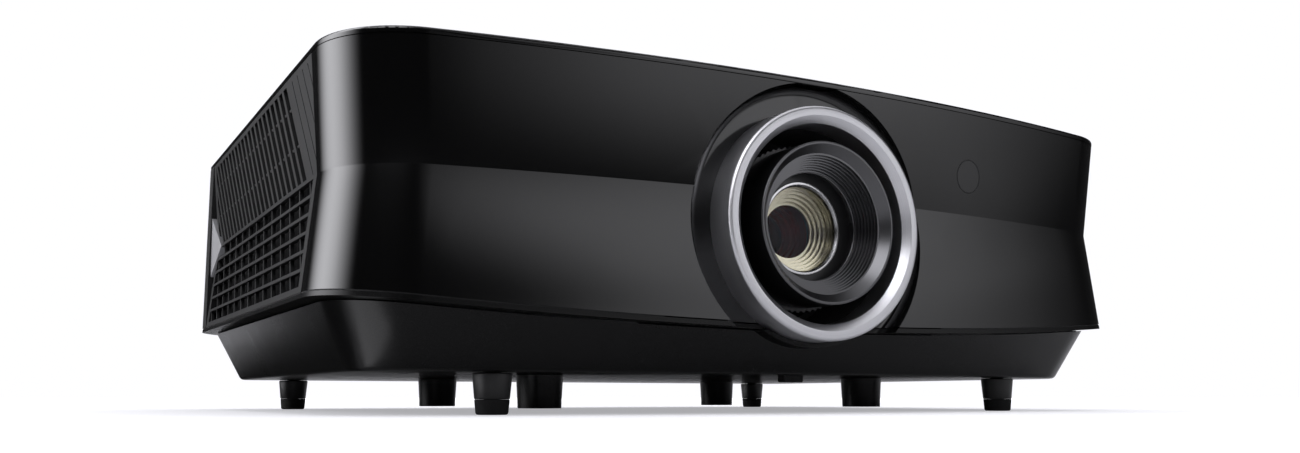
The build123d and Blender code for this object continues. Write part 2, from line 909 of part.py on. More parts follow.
def make_focus_ring():
    """Front ring that turns on the barrel, with a smooth cone and a ribbed funnel inside."""
    ribs = []
    for index in range(funnel_ribs):
        for share, lift in ((index / funnel_ribs, 0), ((index + 0.5) / funnel_ribs, funnel_rib_height)):
            radius = funnel_radius + (funnel_throat_radius - funnel_radius) * share
            along = funnel_depth + (funnel_throat_depth - funnel_depth) * share
            ribs.append((radius, front_y + along + lift))
    return turned_points([
        (focus_radius - focus_rim, front_y),
        *ribs,
        (funnel_throat_radius, front_y + funnel_throat_depth),
        (funnel_throat_radius, ring_seat_y),
        (sleeve_radius, ring_seat_y),
        (sleeve_radius, focus_end_y),
        (focus_radius, focus_end_y),
        (focus_radius, front_y + focus_rim / 2),
        (focus_radius - focus_rim / 2, front_y),
    ])


def make_barrel():
    """Fixed barrel with collars that keep the two rings, and a flange on the carriage."""
    return turned_points([
        (barrel_bore, barrel_front_y),
        (barrel_radius, barrel_front_y),
        (barrel_radius, collar_y),
        (barrel_collar_radius, collar_y),
        (barrel_collar_radius, collar_y + barrel_collar),
        (barrel_radius, collar_y + barrel_collar),
        (barrel_radius, rear_collar_y),
        (barrel_collar_radius, rear_collar_y),
        (barrel_collar_radius, rear_collar_y + barrel_collar),
        (barrel_radius, rear_collar_y + barrel_collar),
        (barrel_radius, barrel_end_y - barrel_flange),
        (barrel_flange_radius, barrel_end_y - barrel_flange),
        (barrel_flange_radius, barrel_end_y),
        (rear_bore, barrel_end_y),
        (rear_bore, barrel_end_y - barrel_flange),
        (rear_seat, barrel_end_y - barrel_flange),
        (rear_seat, rear_step_y),
        (barrel_bore, rear_step_y),
    ])


def make_zoom_ring():
    """Toothed ring between the barrel's two collars."""
    face = toothed(zoom_ring_radius, zoom_tooth_height, zoom_teeth) - Circle(sleeve_radius)
    body = extrude(Plane.XZ * face, -zoom_ring_length)
    return Pos(lens_x, zoom_front_y, lens_z) * body


cell_radius = barrel_bore - running_gap
front_glass_y = front_cell_y + front_glass_bulge


def make_cell(y_front, length, glass_radius, seat_y):
    """Sliding cell with a seat for its glass."""
    step = glass_radius - glass_land
    return turned_points([
        (glass_radius, y_front),
        (cell_radius, y_front),
        (cell_radius, y_front + length),
        (step, y_front + length),
        (step, seat_y),
        (glass_radius, seat_y),
    ])


def make_retainer():
    """Bright ring that holds the front glass in its cell."""
    return tube(retainer_throat, retainer_radius, front_cell_y - retainer_thickness, front_cell_y)


zoom_glass_y = zoom_cell_y + zoom_glass_bulge
rear_glass_back = barrel_end_y - barrel_flange
rear_glass_front = rear_glass_back - rear_glass_edge

# Lens shift
carriage_front_y = barrel_end_y
carriage_back_y = carriage_front_y + carriage_thickness
rod_y = carriage_front_y + carriage_thickness / 2
dial_x = lens_x + screw_offset
dial_y = rod_y
shelf_low_z = lens_z - carriage_half_height - shift_travel - shelf_clearance
shelf_high_z = lens_z + carriage_half_height + shift_travel + shelf_clearance
rod_places = [lens_x - rod_spacing / 2, lens_x + rod_spacing / 2]
dial_top_z = height - dial_recess
dial_low_z = dial_top_z - dial_height


def make_carriage():
    """Plate that carries the barrel up and down on two rods, with a nut for the screw."""
    plate = block(
        (lens_x - carriage_half_width, lens_x + carriage_half_width),
        (carriage_front_y, carriage_back_y),
        (lens_z - carriage_half_height, lens_z + carriage_half_height),
    )
    plate += block(
        (lens_x, dial_x + nut_half_width),
        (carriage_front_y, carriage_back_y),
        (lens_z - nut_half_height, lens_z + nut_half_height),
    )
    plate -= tube(0, carriage_window, -far, far)
    for x in rod_places:
        plate -= upright(x, rod_y, 0, far, rod_radius + running_gap)
    return plate - upright(dial_x, dial_y, 0, far, screw_radius + screw_gap)


def make_rods():
    """Two guide rods held in the engine's shelves."""
    low = shelf_low_z - shelf_thickness
    high = shelf_high_z + shelf_thickness
    return Compound([upright(x, rod_y, low, high, rod_radius) for x in rod_places])


def make_dial():
    """Lens-shift screw with a toothed dial that shows in the top cover, slotted for a coin."""
    screw = upright(dial_x, dial_y, shelf_low_z - shelf_thickness, dial_low_z, screw_radius)
    wheel = extrude(toothed(dial_radius, dial_tooth_height, dial_teeth), dial_height)
    dial = screw + Pos(dial_x, dial_y, dial_low_z) * wheel
    reach = dial_radius / 2
    slot = block(
        (dial_x - reach, dial_x + reach),
        (dial_y - dial_slot_width / 2, dial_y + dial_slot_width / 2),
        (dial_top_z - dial_slot_depth, dial_top_z),
    )
    return dial - slot


# Optical engine and cooling
engine_front_y = carriage_back_y + engine_clearance
engine_top_z = shelf_high_z + shelf_thickness + shelf_clearance
engine_end_y = engine_front_y + engine_length
engine_side_x = lens_x + engine_half_width


def make_engine():
    """Cast housing on the tub floor, hollow, with two shelves that hold the rods and the screw."""
    body = block(
        (lens_x - engine_half_width, engine_side_x),
        (engine_front_y, engine_end_y),
        (floor_z, engine_top_z),
    )
    body -= block(
        (lens_x - engine_half_width + engine_wall, engine_side_x - engine_wall),
        (engine_front_y + engine_wall, engine_end_y - engine_wall),
        (floor_z + engine_wall, engine_top_z - engine_wall),
    )
    for low in (shelf_low_z - shelf_thickness, shelf_high_z):
        body += block(
            (lens_x - engine_half_width, dial_x + nut_half_width),
            (engine_front_y - shelf_length, engine_front_y + engine_wall),
            (low, low + shelf_thickness),
        )
    body -= tube(0, carriage_window, engine_front_y, engine_front_y + engine_wall)
    body -= tube(0, carriage_window, engine_end_y - engine_wall, engine_end_y)
    for x in rod_places:
        body -= upright(x, rod_y, 0, far, rod_radius)
    return body - upright(dial_x, dial_y, 0, far, screw_radius + screw_gap)


def sideways(x_low, x_high, y, z, radius):
    """Cylinder along X."""
    return Pos((x_low + x_high) / 2, y, z) * Rot(0, 90, 0) * Cylinder(radius, x_high - x_low)


motor_y = engine_front_y + motor_setback
motor_end_x = engine_side_x + motor_length
wheel_x = motor_end_x + wheel_gap


def make_wheel_motor():
    """Motor on the engine's side, with its shaft."""
    shaft = sideways(motor_end_x, wheel_x + 2 * wheel_thickness, motor_y, lens_z, shaft_radius)
    return sideways(engine_side_x, motor_end_x, motor_y, lens_z, motor_radius) + shaft


def make_wheel():
    """Phosphor wheel on the motor's shaft."""
    disc = sideways(wheel_x, wheel_x + wheel_thickness, motor_y, lens_z, wheel_radius)
    hub = sideways(wheel_x, wheel_x + 2 * wheel_thickness, motor_y, lens_z, motor_radius / 2)
    bore = sideways(wheel_x - wheel_gap, wheel_x + far, motor_y, lens_z, shaft_radius + running_gap)
    return disc + hub - bore


sink_x = engine_side_x + laser_width
sink_y = engine_end_y - laser_length / 2
sink_z_span = (floor_z, floor_z + sink_height)


def make_laser():
    """Laser bank beside the engine, on the tub floor."""
    y_span = (engine_end_y - laser_length, engine_end_y)
    body = block((engine_side_x, sink_x), y_span, (floor_z, floor_z + laser_height))
    return fillet(body.edges().filter_by(Axis.Z), tub_wall)


def make_laser_sink():
    """Large finned heat sink against the laser bank, in the stream of the fans."""
    x_span = (sink_x, sink_x + sink_width)
    y_span = (sink_y - sink_length / 2, sink_y + sink_length / 2)
    body = block((sink_x, sink_x + sink_base), y_span, sink_z_span)
    run = (sink_length - sink_fin) / (sink_fins - 1)
    for index in range(sink_fins):
        y = y_span[0] + index * run
        body += block(x_span, (y, y + sink_fin), sink_z_span)
    return body


def make_imager_board():
    """Imager board on the rear of the engine."""
    return block(
        (lens_x - imager_width / 2, lens_x + imager_width / 2),
        (engine_end_y, engine_end_y + board_thickness),
        (lens_z - imager_height / 2, lens_z + imager_height / 2),
    )


def make_imager_sink():
    """Finned heat sink on the imager board."""
    start = engine_end_y + board_thickness
    half = imager_height / 2
    z_span = (lens_z - half, lens_z + half)
    body = block((lens_x - half, lens_x + half), (start, start + sink_base), z_span)
    run = (imager_height - sink_fin) / (imager_sink_fins - 1)
    for index in range(imager_sink_fins):
        x = lens_x - half + index * run
        body += block((x, x + sink_fin), (start, start + imager_sink_depth), z_span)
    return body


fan_z = floor_z + fan_size / 2
fan_rear_x = tub_half - fan_side_inset
fan_front_y = tub_front_y + fan_front_inset
fan_x = fan_rear_x - fan_depth
fan_places = {"front": fan_front_y, "rear": fan_front_y + fan_spacing}


def make_fan_frame(y):
    """Square fan frame with a round bore, a motor cup on three spokes and corner holes."""
    half = fan_size / 2
    body = block((fan_x, fan_rear_x), (y - half, y + half), (fan_z - half, fan_z + half))
    body -= sideways(fan_x, fan_rear_x, y, fan_z, fan_bore)
    spoke_x = fan_rear_x - fan_spoke
    arm = block((spoke_x, fan_rear_x), (-fan_spoke / 2, fan_spoke / 2), (0, fan_bore + fan_blade_gap))
    for turn in range(fan_spokes):
        body += Pos(0, y, fan_z) * Rot(360 * turn / fan_spokes, 0, 0) * arm
    body += sideways(spoke_x, fan_rear_x, y, fan_z, fan_hub_radius)
    body += sideways(fan_x + fan_depth / 2, fan_rear_x, y, fan_z, shaft_radius)
    reach = half - fan_hole_inset
    for i in (-1, 1):
        for j in (-1, 1):
            body -= sideways(fan_x, fan_rear_x, y + i * reach, fan_z + j * reach, fan_hole_radius)
    return body


def make_fan_rotor(y):
    """Hub with slanted blades that turns on the frame's shaft."""
    low = fan_x + fan_spoke / 2
    high = fan_rear_x - fan_spoke - turn_gap
    rotor = sideways(low, high, y, fan_z, fan_hub_radius)
    across = high - low
    chord = across / math.cos(math.radians(fan_blade_pitch)) - 2 * fan_blade_thickness
    tip = fan_bore - fan_blade_gap
    blade = Box(chord, fan_blade_thickness, tip - fan_hub_radius / 2)
    blade = Pos(0, 0, (tip + fan_hub_radius / 2) / 2) * Rot(0, 0, fan_blade_pitch) * blade
    for turn in range(fan_blades):
        rotor += Pos((low + high) / 2, y, fan_z) * Rot(360 * turn / fan_blades, 0, 0) * blade
    rotor &= sideways(low, high, y, fan_z, tip)
    return rotor - sideways(low - fan_spoke, far, y, fan_z, shaft_radius + running_gap)


# Boards and sockets
def mounted(x, y, z, across, along, tall):
    """Block that stands on level z, centred on x and y."""
    return block((x - across / 2, x + across / 2), (y - along / 2, y + along / 2), (z, z + tall))


def make_supply():
    """Power-supply board with its transformer, capacitors and heat-sink plate."""
    top = supply_z + board_thickness
    board = mounted(supply_x, supply_y, supply_z, supply_width, supply_length, board_thickness)
    x = supply_x - transformer_shift
    y = supply_y - transformer_rear
    board += mounted(x, y, top, transformer_width, transformer_length, transformer_height)
    x = supply_x + choke_shift
    y = supply_y + choke_rear
    board += mounted(x, y, top, choke_width, choke_length, choke_height)
    x = supply_x - plate_shift
    y = supply_y + plate_rear
    board += mounted(x, y, top, plate_thickness, plate_length, plate_height)
    for index in range(capacitors):
        y = supply_y - capacitor_rear + capacitor_pitch * index
        board += upright(supply_x + capacitor_shift, y, top, top + capacitor_height, capacitor_radius)
    return board


def make_main_board():
    """Main board behind the sockets, with a shield can and two chips."""
    board = mounted(main_x, main_y, main_z, main_length, main_width, board_thickness)
    y = main_y - chip_setback
    board += mounted(main_x + can_shift, y, port_floor_z, can_width, chip_length, chip_height)
    for side in (-1, 1):
        board += mounted(main_x + side * chip_shift, y, port_floor_z, chip_width, chip_length, chip_height)
    return board


port_back_y = rear_y + port_proud - wall - port_depth
port_face_y = rear_y - port_proud


def make_port(x, across, tall, tongue, flange=None):
    """Hollow socket shell on the main board, with a contact tongue or plain, and a flange in the bay or none."""
    top = port_floor_z + tall
    body = block((x - across / 2, x + across / 2), (port_back_y, port_face_y), (port_floor_z, top))
    if flange:
        flange_span = (flange[0] + fit_gap, flange[1] - fit_gap)
        body += block(flange_span, (inside_rear, port_face_y), (bay_low_z + fit_gap, bay_high_z - fit_gap))
    body -= block(
        (x - across / 2 + port_wall, x + across / 2 - port_wall),
        (port_back_y + port_wall, far),
        (port_floor_z + port_wall, top - port_wall),
    )
    if tongue:
        middle = port_floor_z + tall / 2
        body += block(
            (x - across / 3, x + across / 3),
            (port_back_y, port_face_y - port_wall),
            (middle - port_tongue / 2, middle + port_tongue / 2),
        )
    return body


def make_signal_ports():
    """Video and data sockets on the main board's rear edge, with the round jacks beside them."""
    solids = [make_port(x, across, tall, tongue=True) for x, across, tall in ports]
    length = port_face_y - port_back_y
    jack = Cylinder(jack_radius, length) - Pos(0, 0, port_wall) * Cylinder(jack_bore, length)
    middle = port_back_y + length / 2
    for x in jack_places:
        solids.append(Pos(x, middle, port_floor_z + jack_radius) * Rot(-90, 0, 0) * jack)
    return Compound(solids)


def make_inlet():
    """Mains inlet with three flat pins in its cavity."""
    face = rear_y - port_proud
    body = block(
        (inlet_x - inlet_width / 2, inlet_x + inlet_width / 2),
        (face - inlet_depth, face),
        (inlet_z - inlet_height / 2, inlet_z + inlet_height / 2),
    )
    floor = face - inlet_cavity_depth
    body -= block(
        (inlet_x - inlet_cavity_width / 2, inlet_x + inlet_cavity_width / 2),
        (floor, far),
        (inlet_z - inlet_cavity_height / 2, inlet_z + inlet_cavity_height / 2),
    )
    reach = pin_spacing / 2
    drop = pin_height / 2
    for x, z in ((-reach, -drop), (reach, -drop), (0, drop)):
        body += block(
            (inlet_x + x - pin_width / 2, inlet_x + x + pin_width / 2),
            (floor - port_wall, floor + pin_length),
            (inlet_z + z - pin_height / 2, inlet_z + z + pin_height / 2),
        )
    return body


# Feet, inserts and fasteners
pad_top_z = pad_height
cup_low_z = pad_top_z + turn_gap


def make_foot(x, y):
    """Tapered screw foot with its threaded stud above and a spigot for the pad below."""
    cup = upright(x, y, cup_low_z, foot_top_z, foot_low_radius, foot_top_radius)
    stud = upright(x, y, foot_top_z, stud_top_z, foot_stud_radius)
    return cup + stud + upright(x, y, pad_top_z - pad_spigot_depth, cup_low_z, pad_spigot_radius)


def make_pad(x, y):
    """Rubber tip that the foot turns in."""
    pad = upright(x, y, 0, pad_top_z, pad_low_radius, foot_low_radius)
    pocket_z = pad_top_z - pad_spigot_depth - turn_gap
    return pad - upright(x, y, pocket_z, far, pad_spigot_radius + running_gap)


def make_inserts():
    """Threaded inserts in the ceiling-mount posts."""
    rings = []
    for x, y in posts:
        sleeve = upright(x, y, post_bottom_z, post_bottom_z + insert_length, insert_radius)
        rings.append(sleeve - upright(x, y, 0, far, insert_bore))
    return Compound(rings)


def make_screws():
    """Case screws in the tub floor."""
    solids = []
    for x, y in screws:
        head_low = tub_bottom_z + fit_gap
        head_top = tub_bottom_z + case_head_height
        head = upright(x, y, head_low, head_top, case_head_radius)
        solids.append(head + upright(x, y, head_top, floor_z + case_boss_height, case_screw_radius))
    return Compound(solids)


def make_tie_bar():
    """Small bar under the front edge, open behind for a tether."""
    half = tie_bar_width / 2
    tie_bar_y = tub_front_y + tie_bar_front_inset
    bar = block(
        (tie_bar_x - half, tie_bar_x + half),
        (tie_bar_y, tie_bar_y + 2 * tie_bar_thickness),
        (tub_bottom_z - tie_bar_drop, tub_bottom_z),
    )
    return fillet(bar.edges().filter_by(Axis.Y).sort_by(Axis.Z)[:2], tie_bar_thickness / 3)


left_wedge = make_left_wedge()
left_grille = make_left_grille() - left_wedge

write("top_cover", make_top_cover())
write("front_panel", make_front_panel())
write("left_grille", left_grille)
write("right_grille", mirror(left_grille, Plane.YZ))
write("left_wedge", left_wedge)
write("right_wedge", mirror(left_wedge, Plane.YZ))
write("rear_panel", make_rear_panel())
write("lower_trim", make_trim())
write("base_tub", make_tub())
write("remote_window", make_window())
write("lens_bezel", make_ring())
write("lens_well", make_well())
write("focus_ring", make_focus_ring())
write("zoom_ring", make_zoom_ring())
write("lens_barrel", make_barrel())
front_glass_back = front_glass_y + front_glass_edge
write("front_lens_cell", make_cell(front_cell_y, front_cell_length, front_glass_radius, front_glass_back))
write("front_lens_retainer", make_retainer())
write("front_lens", lens_disc(front_glass_radius, front_glass_y, front_glass_back, front_glass_bulge))
zoom_glass_back = zoom_glass_y + zoom_glass_edge
write("zoom_lens_cell", make_cell(zoom_cell_y, zoom_cell_length, zoom_glass_radius, zoom_glass_back))
write("zoom_lens", lens_disc(zoom_glass_radius, zoom_glass_y, zoom_glass_back, zoom_glass_bulge))
write("rear_lens", lens_disc(rear_seat, rear_glass_front, rear_glass_back, rear_glass_bulge))
write("shift_carriage", make_carriage())
write("shift_rods", make_rods())
write("shift_dial", make_dial())
write("engine_housing", make_engine())
write("wheel_motor", make_wheel_motor())
write("phosphor_wheel", make_wheel())
write("laser_module", make_laser())
write("laser_heat_sink", make_laser_sink())
write("imager_board", make_imager_board())
write("imager_heat_sink", make_imager_sink())
write("fan_frames", Compound([make_fan_frame(y) for y in fan_places.values()]))
for side, y in fan_places.items():
    write(f"fan_rotor_{side}", make_fan_rotor(y))
write("power_supply_board", make_supply())
write("main_board", make_main_board())
write("signal_ports", make_signal_ports())
network_flange = (bay_low_x, bay_middle_x)
write("network_port", make_port(network_x, network_width, network_height, False, network_flange))
serial_flange = (bay_middle_x, bay_high_x)
write("serial_port", make_port(serial_x, serial_width, serial_height, True, serial_flange))
write("mains_inlet", make_inlet())
write("keypad_board", make_keypad_board())
write("status_lights", make_status_lights())
for name, (x, y) in key_places.items():
    write(name, make_button(x, y))
for name, (x, y) in feet.items():
    write(f"foot_{name}", make_foot(x, y))
    write(f"foot_pad_{name}", make_pad(x, y))
write("mount_inserts", make_inserts())
write("case_screws", make_screws())
write("tie_bar", make_tie_bar())
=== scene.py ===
# %% [markdown]
# # A home projector in a small studio
#
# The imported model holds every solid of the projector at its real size, in metres. This lesson gives
# those solids their finishes, turns the lens parts again with finer profiles, and sets up the camera
# and the soft lamps of a product picture. Nothing here moves or resizes the model: a new piece takes
# its place from the solid it stands for.

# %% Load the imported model
import json
import math

import bmesh
import bpy
import numpy as np
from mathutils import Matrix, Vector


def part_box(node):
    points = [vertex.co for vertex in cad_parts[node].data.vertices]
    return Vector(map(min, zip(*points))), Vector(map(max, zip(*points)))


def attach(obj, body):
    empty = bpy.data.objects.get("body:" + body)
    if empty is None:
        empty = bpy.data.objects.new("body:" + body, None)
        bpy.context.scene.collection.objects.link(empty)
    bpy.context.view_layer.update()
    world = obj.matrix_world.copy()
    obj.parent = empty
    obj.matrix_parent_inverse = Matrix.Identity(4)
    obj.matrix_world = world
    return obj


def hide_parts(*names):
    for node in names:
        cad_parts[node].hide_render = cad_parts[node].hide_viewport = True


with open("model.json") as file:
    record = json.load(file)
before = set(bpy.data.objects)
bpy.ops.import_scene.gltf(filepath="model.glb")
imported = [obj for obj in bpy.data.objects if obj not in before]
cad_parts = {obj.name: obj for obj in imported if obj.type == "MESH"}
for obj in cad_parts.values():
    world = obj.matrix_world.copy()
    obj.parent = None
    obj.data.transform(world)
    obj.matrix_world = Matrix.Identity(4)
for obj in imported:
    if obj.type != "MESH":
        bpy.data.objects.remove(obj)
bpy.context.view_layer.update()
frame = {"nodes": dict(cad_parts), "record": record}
nodes = frame["nodes"]
mm = 0.001

# %% [markdown]
# ## The camera
#
# The picture was taken from close by, a little above the table and to the left of the lens. Uprights
# stay nearly upright in it, so the camera looks up only a little, and the lens shift slides the picture
# the rest of the way, as with a view camera. Tilting alone would have been simpler, but then the sides
# would lean together.

# %% Camera
picture_width = 1300
focal_pixels = 1118.5
sensor_width = 36.0
eye = (-0.3481, -0.6175, 0.0079)
eye_yaw = math.radians(-29.35)
eye_pitch = math.radians(4.75)
rise = 0.06
nearest = 0.01
camera = bpy.data.objects.new("camera", bpy.data.cameras.new("camera"))
bpy.context.scene.collection.objects.link(camera)
camera.location = eye
camera.rotation_euler = (math.pi / 2 + eye_pitch, 0, eye_yaw)
camera.data.sensor_width = sensor_width
camera.data.lens = focal_pixels / picture_width * sensor_width
camera.data.shift_y = rise
camera.data.clip_start = nearest
bpy.context.scene.camera = camera
print("lens in millimetres:", round(camera.data.lens, 2), "shift:", round(camera.data.shift_y, 4))

# %% [markdown]
# ## Shader arithmetic
#
# A finish is a small network of nodes. Wiring nodes by hand hides the idea, so a socket is wrapped in a
# class whose operators add the Math nodes: `1 - mask * 0.5` then reads as it is meant. Every other node
# comes from one method.

# %% Shader arithmetic
def feed(socket, value):
    """Link a wire to a socket, or set a plain value on it."""
    if isinstance(value, Wire):
        socket.id_data.links.new(value.socket, socket)
    else:
        socket.default_value = value


class Wire:
    """A shader socket that takes part in Python arithmetic: each operation adds one Math node."""

    def __init__(self, socket):
        self.socket = socket
        self.tree = socket.id_data

    def make(self, kind, settings=None, inputs=None, output=0):
        """Any node: its settings are set first, then its sockets get values or links."""
        node = self.tree.nodes.new(kind)
        for key, value in (settings or {}).items():
            setattr(node, key, value)
        for key, value in (inputs or {}).items():
            feed(node.inputs[key], value)
        return Wire(node.outputs[output])

    def maths(self, operation, *values):
        """Math node of the given operation."""
        return self.make("ShaderNodeMath", {"operation": operation}, dict(enumerate(values)))

    def __add__(self, other):
        return self.maths("ADD", self, other)

    def __sub__(self, other):
        return self.maths("SUBTRACT", self, other)

    def __rsub__(self, other):
        return self.maths("SUBTRACT", other, self)

    def __mul__(self, other):
        return self.maths("MULTIPLY", self, other)

    def __pow__(self, other):
        return self.maths("POWER", self, other)

    __radd__ = __add__
    __rmul__ = __mul__

    def above(self, edge, softness):
        """Mask that rises from 0 to 1 as the value passes edge, over the given softness."""
        inputs = {"Value": self, "From Min": edge - softness / 2, "From Max": edge + softness / 2}
        return self.make("ShaderNodeMapRange", {"interpolation_type": "SMOOTHSTEP"}, inputs)

    def axis(self, letter):
        """One coordinate of a vector."""
        return self.make("ShaderNodeSeparateXYZ", None, {0: self}, letter)

    def noise(self, scale, detail=2.0, rough=0.5):
        """Noise between 0 and 1 with the given number of blotches per metre."""
        inputs = {"Vector": self, "Scale": scale, "Detail": detail, "Roughness": rough}
        return self.make("ShaderNodeTexNoise", None, inputs)

    def blend(self, first, second):
        """Colour mixed from first to second, with this wire as the share. A Mix node has its colours on
        sockets 6 and 7 and on output 2."""
        return self.make("ShaderNodeMix", {"data_type": "RGBA"}, {0: self, 6: first, 7: second}, 2)

    def bump(self, strength):
        """Normal tilted by this wire as a height, whose full range is the height of the grain."""
        inputs = {"Strength": strength, "Distance": grain_height, "Height": self}
        return self.make("ShaderNodeBump", None, inputs)


grain_height = 0.2 * mm
print("grain height in millimetres:", grain_height / mm)

# %% [markdown]
# ## Starting a finish
#
# Plastic, metal and glass all start from Blender's main shader. What is the same all over the surface
# is set on its sockets at once, and what varies is read from the object's own coordinates, so that a
# pattern stays put on its piece when the piece moves.

# %% Starting a finish
def start_finish(name, constants):
    """New material: its main shader with the given constants, and the object coordinates as a wire."""
    material = bpy.data.materials.new(name)
    material.use_nodes = True
    tree = material.node_tree
    shader = tree.nodes["Principled BSDF"]
    for key, value in constants.items():
        shader.inputs[key].default_value = value
    place = Wire(tree.nodes.new("ShaderNodeTexCoord").outputs["Object"])
    return material, shader.inputs, place


def grey(level):
    """Neutral colour, a touch cool as black plastics are."""
    return (level, level, level * coolness, 1.0)


def shades(level, spread):
    """Two greys, darker and paler than a level by the given share."""
    return grey(level * (1 - spread)), grey(level * (1 + spread))


coolness = 1.04
print("middle grey:", grey(0.5))

# %% [markdown]
# ## Finishes of the casing
#
# The front and the lid are injection-moulded in a gloss black that is not quite a mirror: its
# highlights have soft edges. The tub and the grilles are grained, so they scatter light more. Each
# finish varies a little over the surface, because an even roughness is what makes a rendered plastic
# look like a drawing of plastic.

# %% Casing finishes
surface_index = 1.5
casing_drift = 18.0
casing_shade = 0.15


def moulded(name, level, roughness, grain, depth, spread=0.06, gloss=0.5):
    """Moulded plastic: a fine grain in the surface and slow drifts of its colour and roughness."""
    material, shader, place = start_finish(name, {"IOR": surface_index, "Specular IOR Level": gloss})
    drift = place.noise(casing_drift, detail=3.0)
    fine = place.noise(grain)
    feed(shader["Base Color"], drift.blend(*shades(level, casing_shade)))
    feed(shader["Roughness"], roughness + (drift - 0.5) * spread + (fine - 0.5) * spread)
    feed(shader["Normal"], fine.bump(depth))
    return material


gloss_black = moulded("gloss black moulding", 0.0015, 0.10, 900.0, 0.006, 0.03)
satin_black = moulded("grained black moulding", 0.002, 0.28, 2600.0, 0.05, gloss=0.18)
grille_grey = moulded("grained grille moulding", 0.008, 0.40, 2200.0, 0.15, gloss=0.4)
well_black = moulded("flocked black", 0.006, 0.75, 3000.0, 0.3)
key_black = moulded("satin key moulding", 0.022, 0.38, 2500.0, 0.12)
foot_black = moulded("satin foot moulding", 0.004, 0.34, 2400.0, 0.10, gloss=0.45)
fan_black = moulded("fan moulding", 0.016, 0.5, 2000.0, 0.1)
rubber = moulded("soft rubber", 0.006, 0.72, 3200.0, 0.35, gloss=0.2)
window_black = moulded("smoked window", 0.008, 0.10, 700.0, 0.004, 0.02)
foam_grey = moulded("filter foam", 0.010, 0.85, 1400.0, 0.6, gloss=0.1)
silver_paint = moulded("silver paint", 0.34, 0.34, 1800.0, 0.05, gloss=0.25)
print("casing finishes:", len(bpy.data.materials))

# %% [markdown]
# ## Finishes of the metal parts
#
# Turned metal carries fine rings left by the tool. On Object coordinates these rings are noise that
# depends only on the distance from the axis and the place along it, so the formula turns x and z into a
# radius first. Cast and extruded metal has no rings, only a dull grain.

# %% Metal finishes
bezel_low, bezel_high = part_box("lens_bezel")
lens_x = (bezel_low.x + bezel_high.x) / 2
lens_z = (bezel_low.z + bezel_high.z) / 2
metal_shade = 0.2
ring_drift, ring_swing, ring_drift_swing = 30.0, 0.14, 0.05
cast_drift, grain_swing, cast_drift_swing = 40.0, 0.12, 0.08


def ring_place(place):
    """Coordinates of a turned part: distance from the lens axis, and place along it."""
    x = place.axis("X") - lens_x
    z = place.axis("Z") - lens_z
    radius = (x * x + z * z) ** 0.5
    return place.make("ShaderNodeCombineXYZ", None, {0: radius, 1: place.axis("Y"), 2: 0.0})


def turned_metal(name, level, roughness, metallic, rings=2600.0, depth=0.08):
    """Turned metal: rings of the tool in the height and the roughness, over a grey."""
    material, shader, place = start_finish(name, {"Metallic": metallic, "IOR": surface_index})
    lines = ring_place(place).noise(rings, detail=3.0, rough=0.7)
    drift = place.noise(ring_drift)
    feed(shader["Base Color"], lines.blend(*shades(level, metal_shade)))
    feed(shader["Roughness"], roughness + (lines - 0.5) * ring_swing + (drift - 0.5) * ring_drift_swing)
    feed(shader["Normal"], lines.bump(depth))
    return material


def plain_metal(name, colour, roughness, grain=1500.0, depth=0.08):
    """Cast, drawn or stamped metal: a dull grain with slow drifts."""
    material, shader, place = start_finish(name, {"Metallic": 1.0})
    fine = place.noise(grain, detail=3.0)
    drift = place.noise(cast_drift)
    dark = tuple((1 - metal_shade) * part for part in colour)
    feed(shader["Base Color"], drift.blend((*dark, 1.0), (*colour, 1.0)))
    feed(shader["Roughness"], roughness + (fine - 0.5) * grain_swing + (drift - 0.5) * cast_drift_swing)
    feed(shader["Normal"], fine.bump(depth))
    return material


gunmetal = turned_metal("turned gunmetal", 0.60, 0.38, 1.0)
lens_black = turned_metal("black anodised", 0.022, 0.36, 0.0, 3000.0, 0.05)
cone_grey = turned_metal("grey anodised", 0.105, 0.30, 1.0, 3000.0, 0.05)
bright_metal = plain_metal("bright steel", (0.66, 0.66, 0.67), 0.25)
silver = plain_metal("satin silver", (0.80, 0.80, 0.81), 0.28, 2400.0, 0.05)
cast_alloy = plain_metal("cast alloy", (0.36, 0.36, 0.37), 0.5, 900.0, 0.3)
heat_sink = plain_metal("extruded alloy", (0.55, 0.55, 0.56), 0.4)
step_beige = plain_metal("nickel plated", (0.56, 0.54, 0.46), 0.26, 6000.0, 0.01)
step_brown = plain_metal("red anodised", (0.20, 0.026, 0.016), 0.36, 6000.0, 0.02)
brass = plain_metal("brass", (0.72, 0.53, 0.24), 0.3)
phosphor = plain_metal("phosphor coat", (0.85, 0.72, 0.18), 0.55)
print("finishes:", len(bpy.data.materials))

# %% [markdown]
# ## Boards, lights and glass
#
# The boards sit deep inside, and little of them shows through the grilles, so a green mask with pale
# tracks is enough. The glass is a real refracting shader. Its coat against stray light takes most of
# the mirror off the front, and the deep glass is tinted, because the coats further in leave a dark red.

# %% Boards, lights and glass
track_rate = 900.0
mask_green = (0.01, 0.07, 0.03, 1)
track_green = (0.03, 0.16, 0.07, 1)
pipe_colours = ((0.5, 0.55, 0.6, 1), (0.7, 0.75, 0.8, 1))
pipe_glows = ((0.05, 0.2, 0.5, 1), (0.1, 0.3, 0.7, 1))
coat_blue = 1.4
dust = 0.02


def board_finish():
    """Green mask with tracks along the crests of a sine across the board, broken up by blotches."""
    material, shader, place = start_finish("board mask", {"Roughness": 0.45})
    swing = place.axis("X") * track_rate
    tracks = swing.maths("SINE", swing).above(0.6, 0.3)
    blotches = place.noise(220.0, detail=4.0).above(0.55, 0.1)
    feed(shader["Base Color"], (tracks * blotches).blend(mask_green, track_green))
    return material


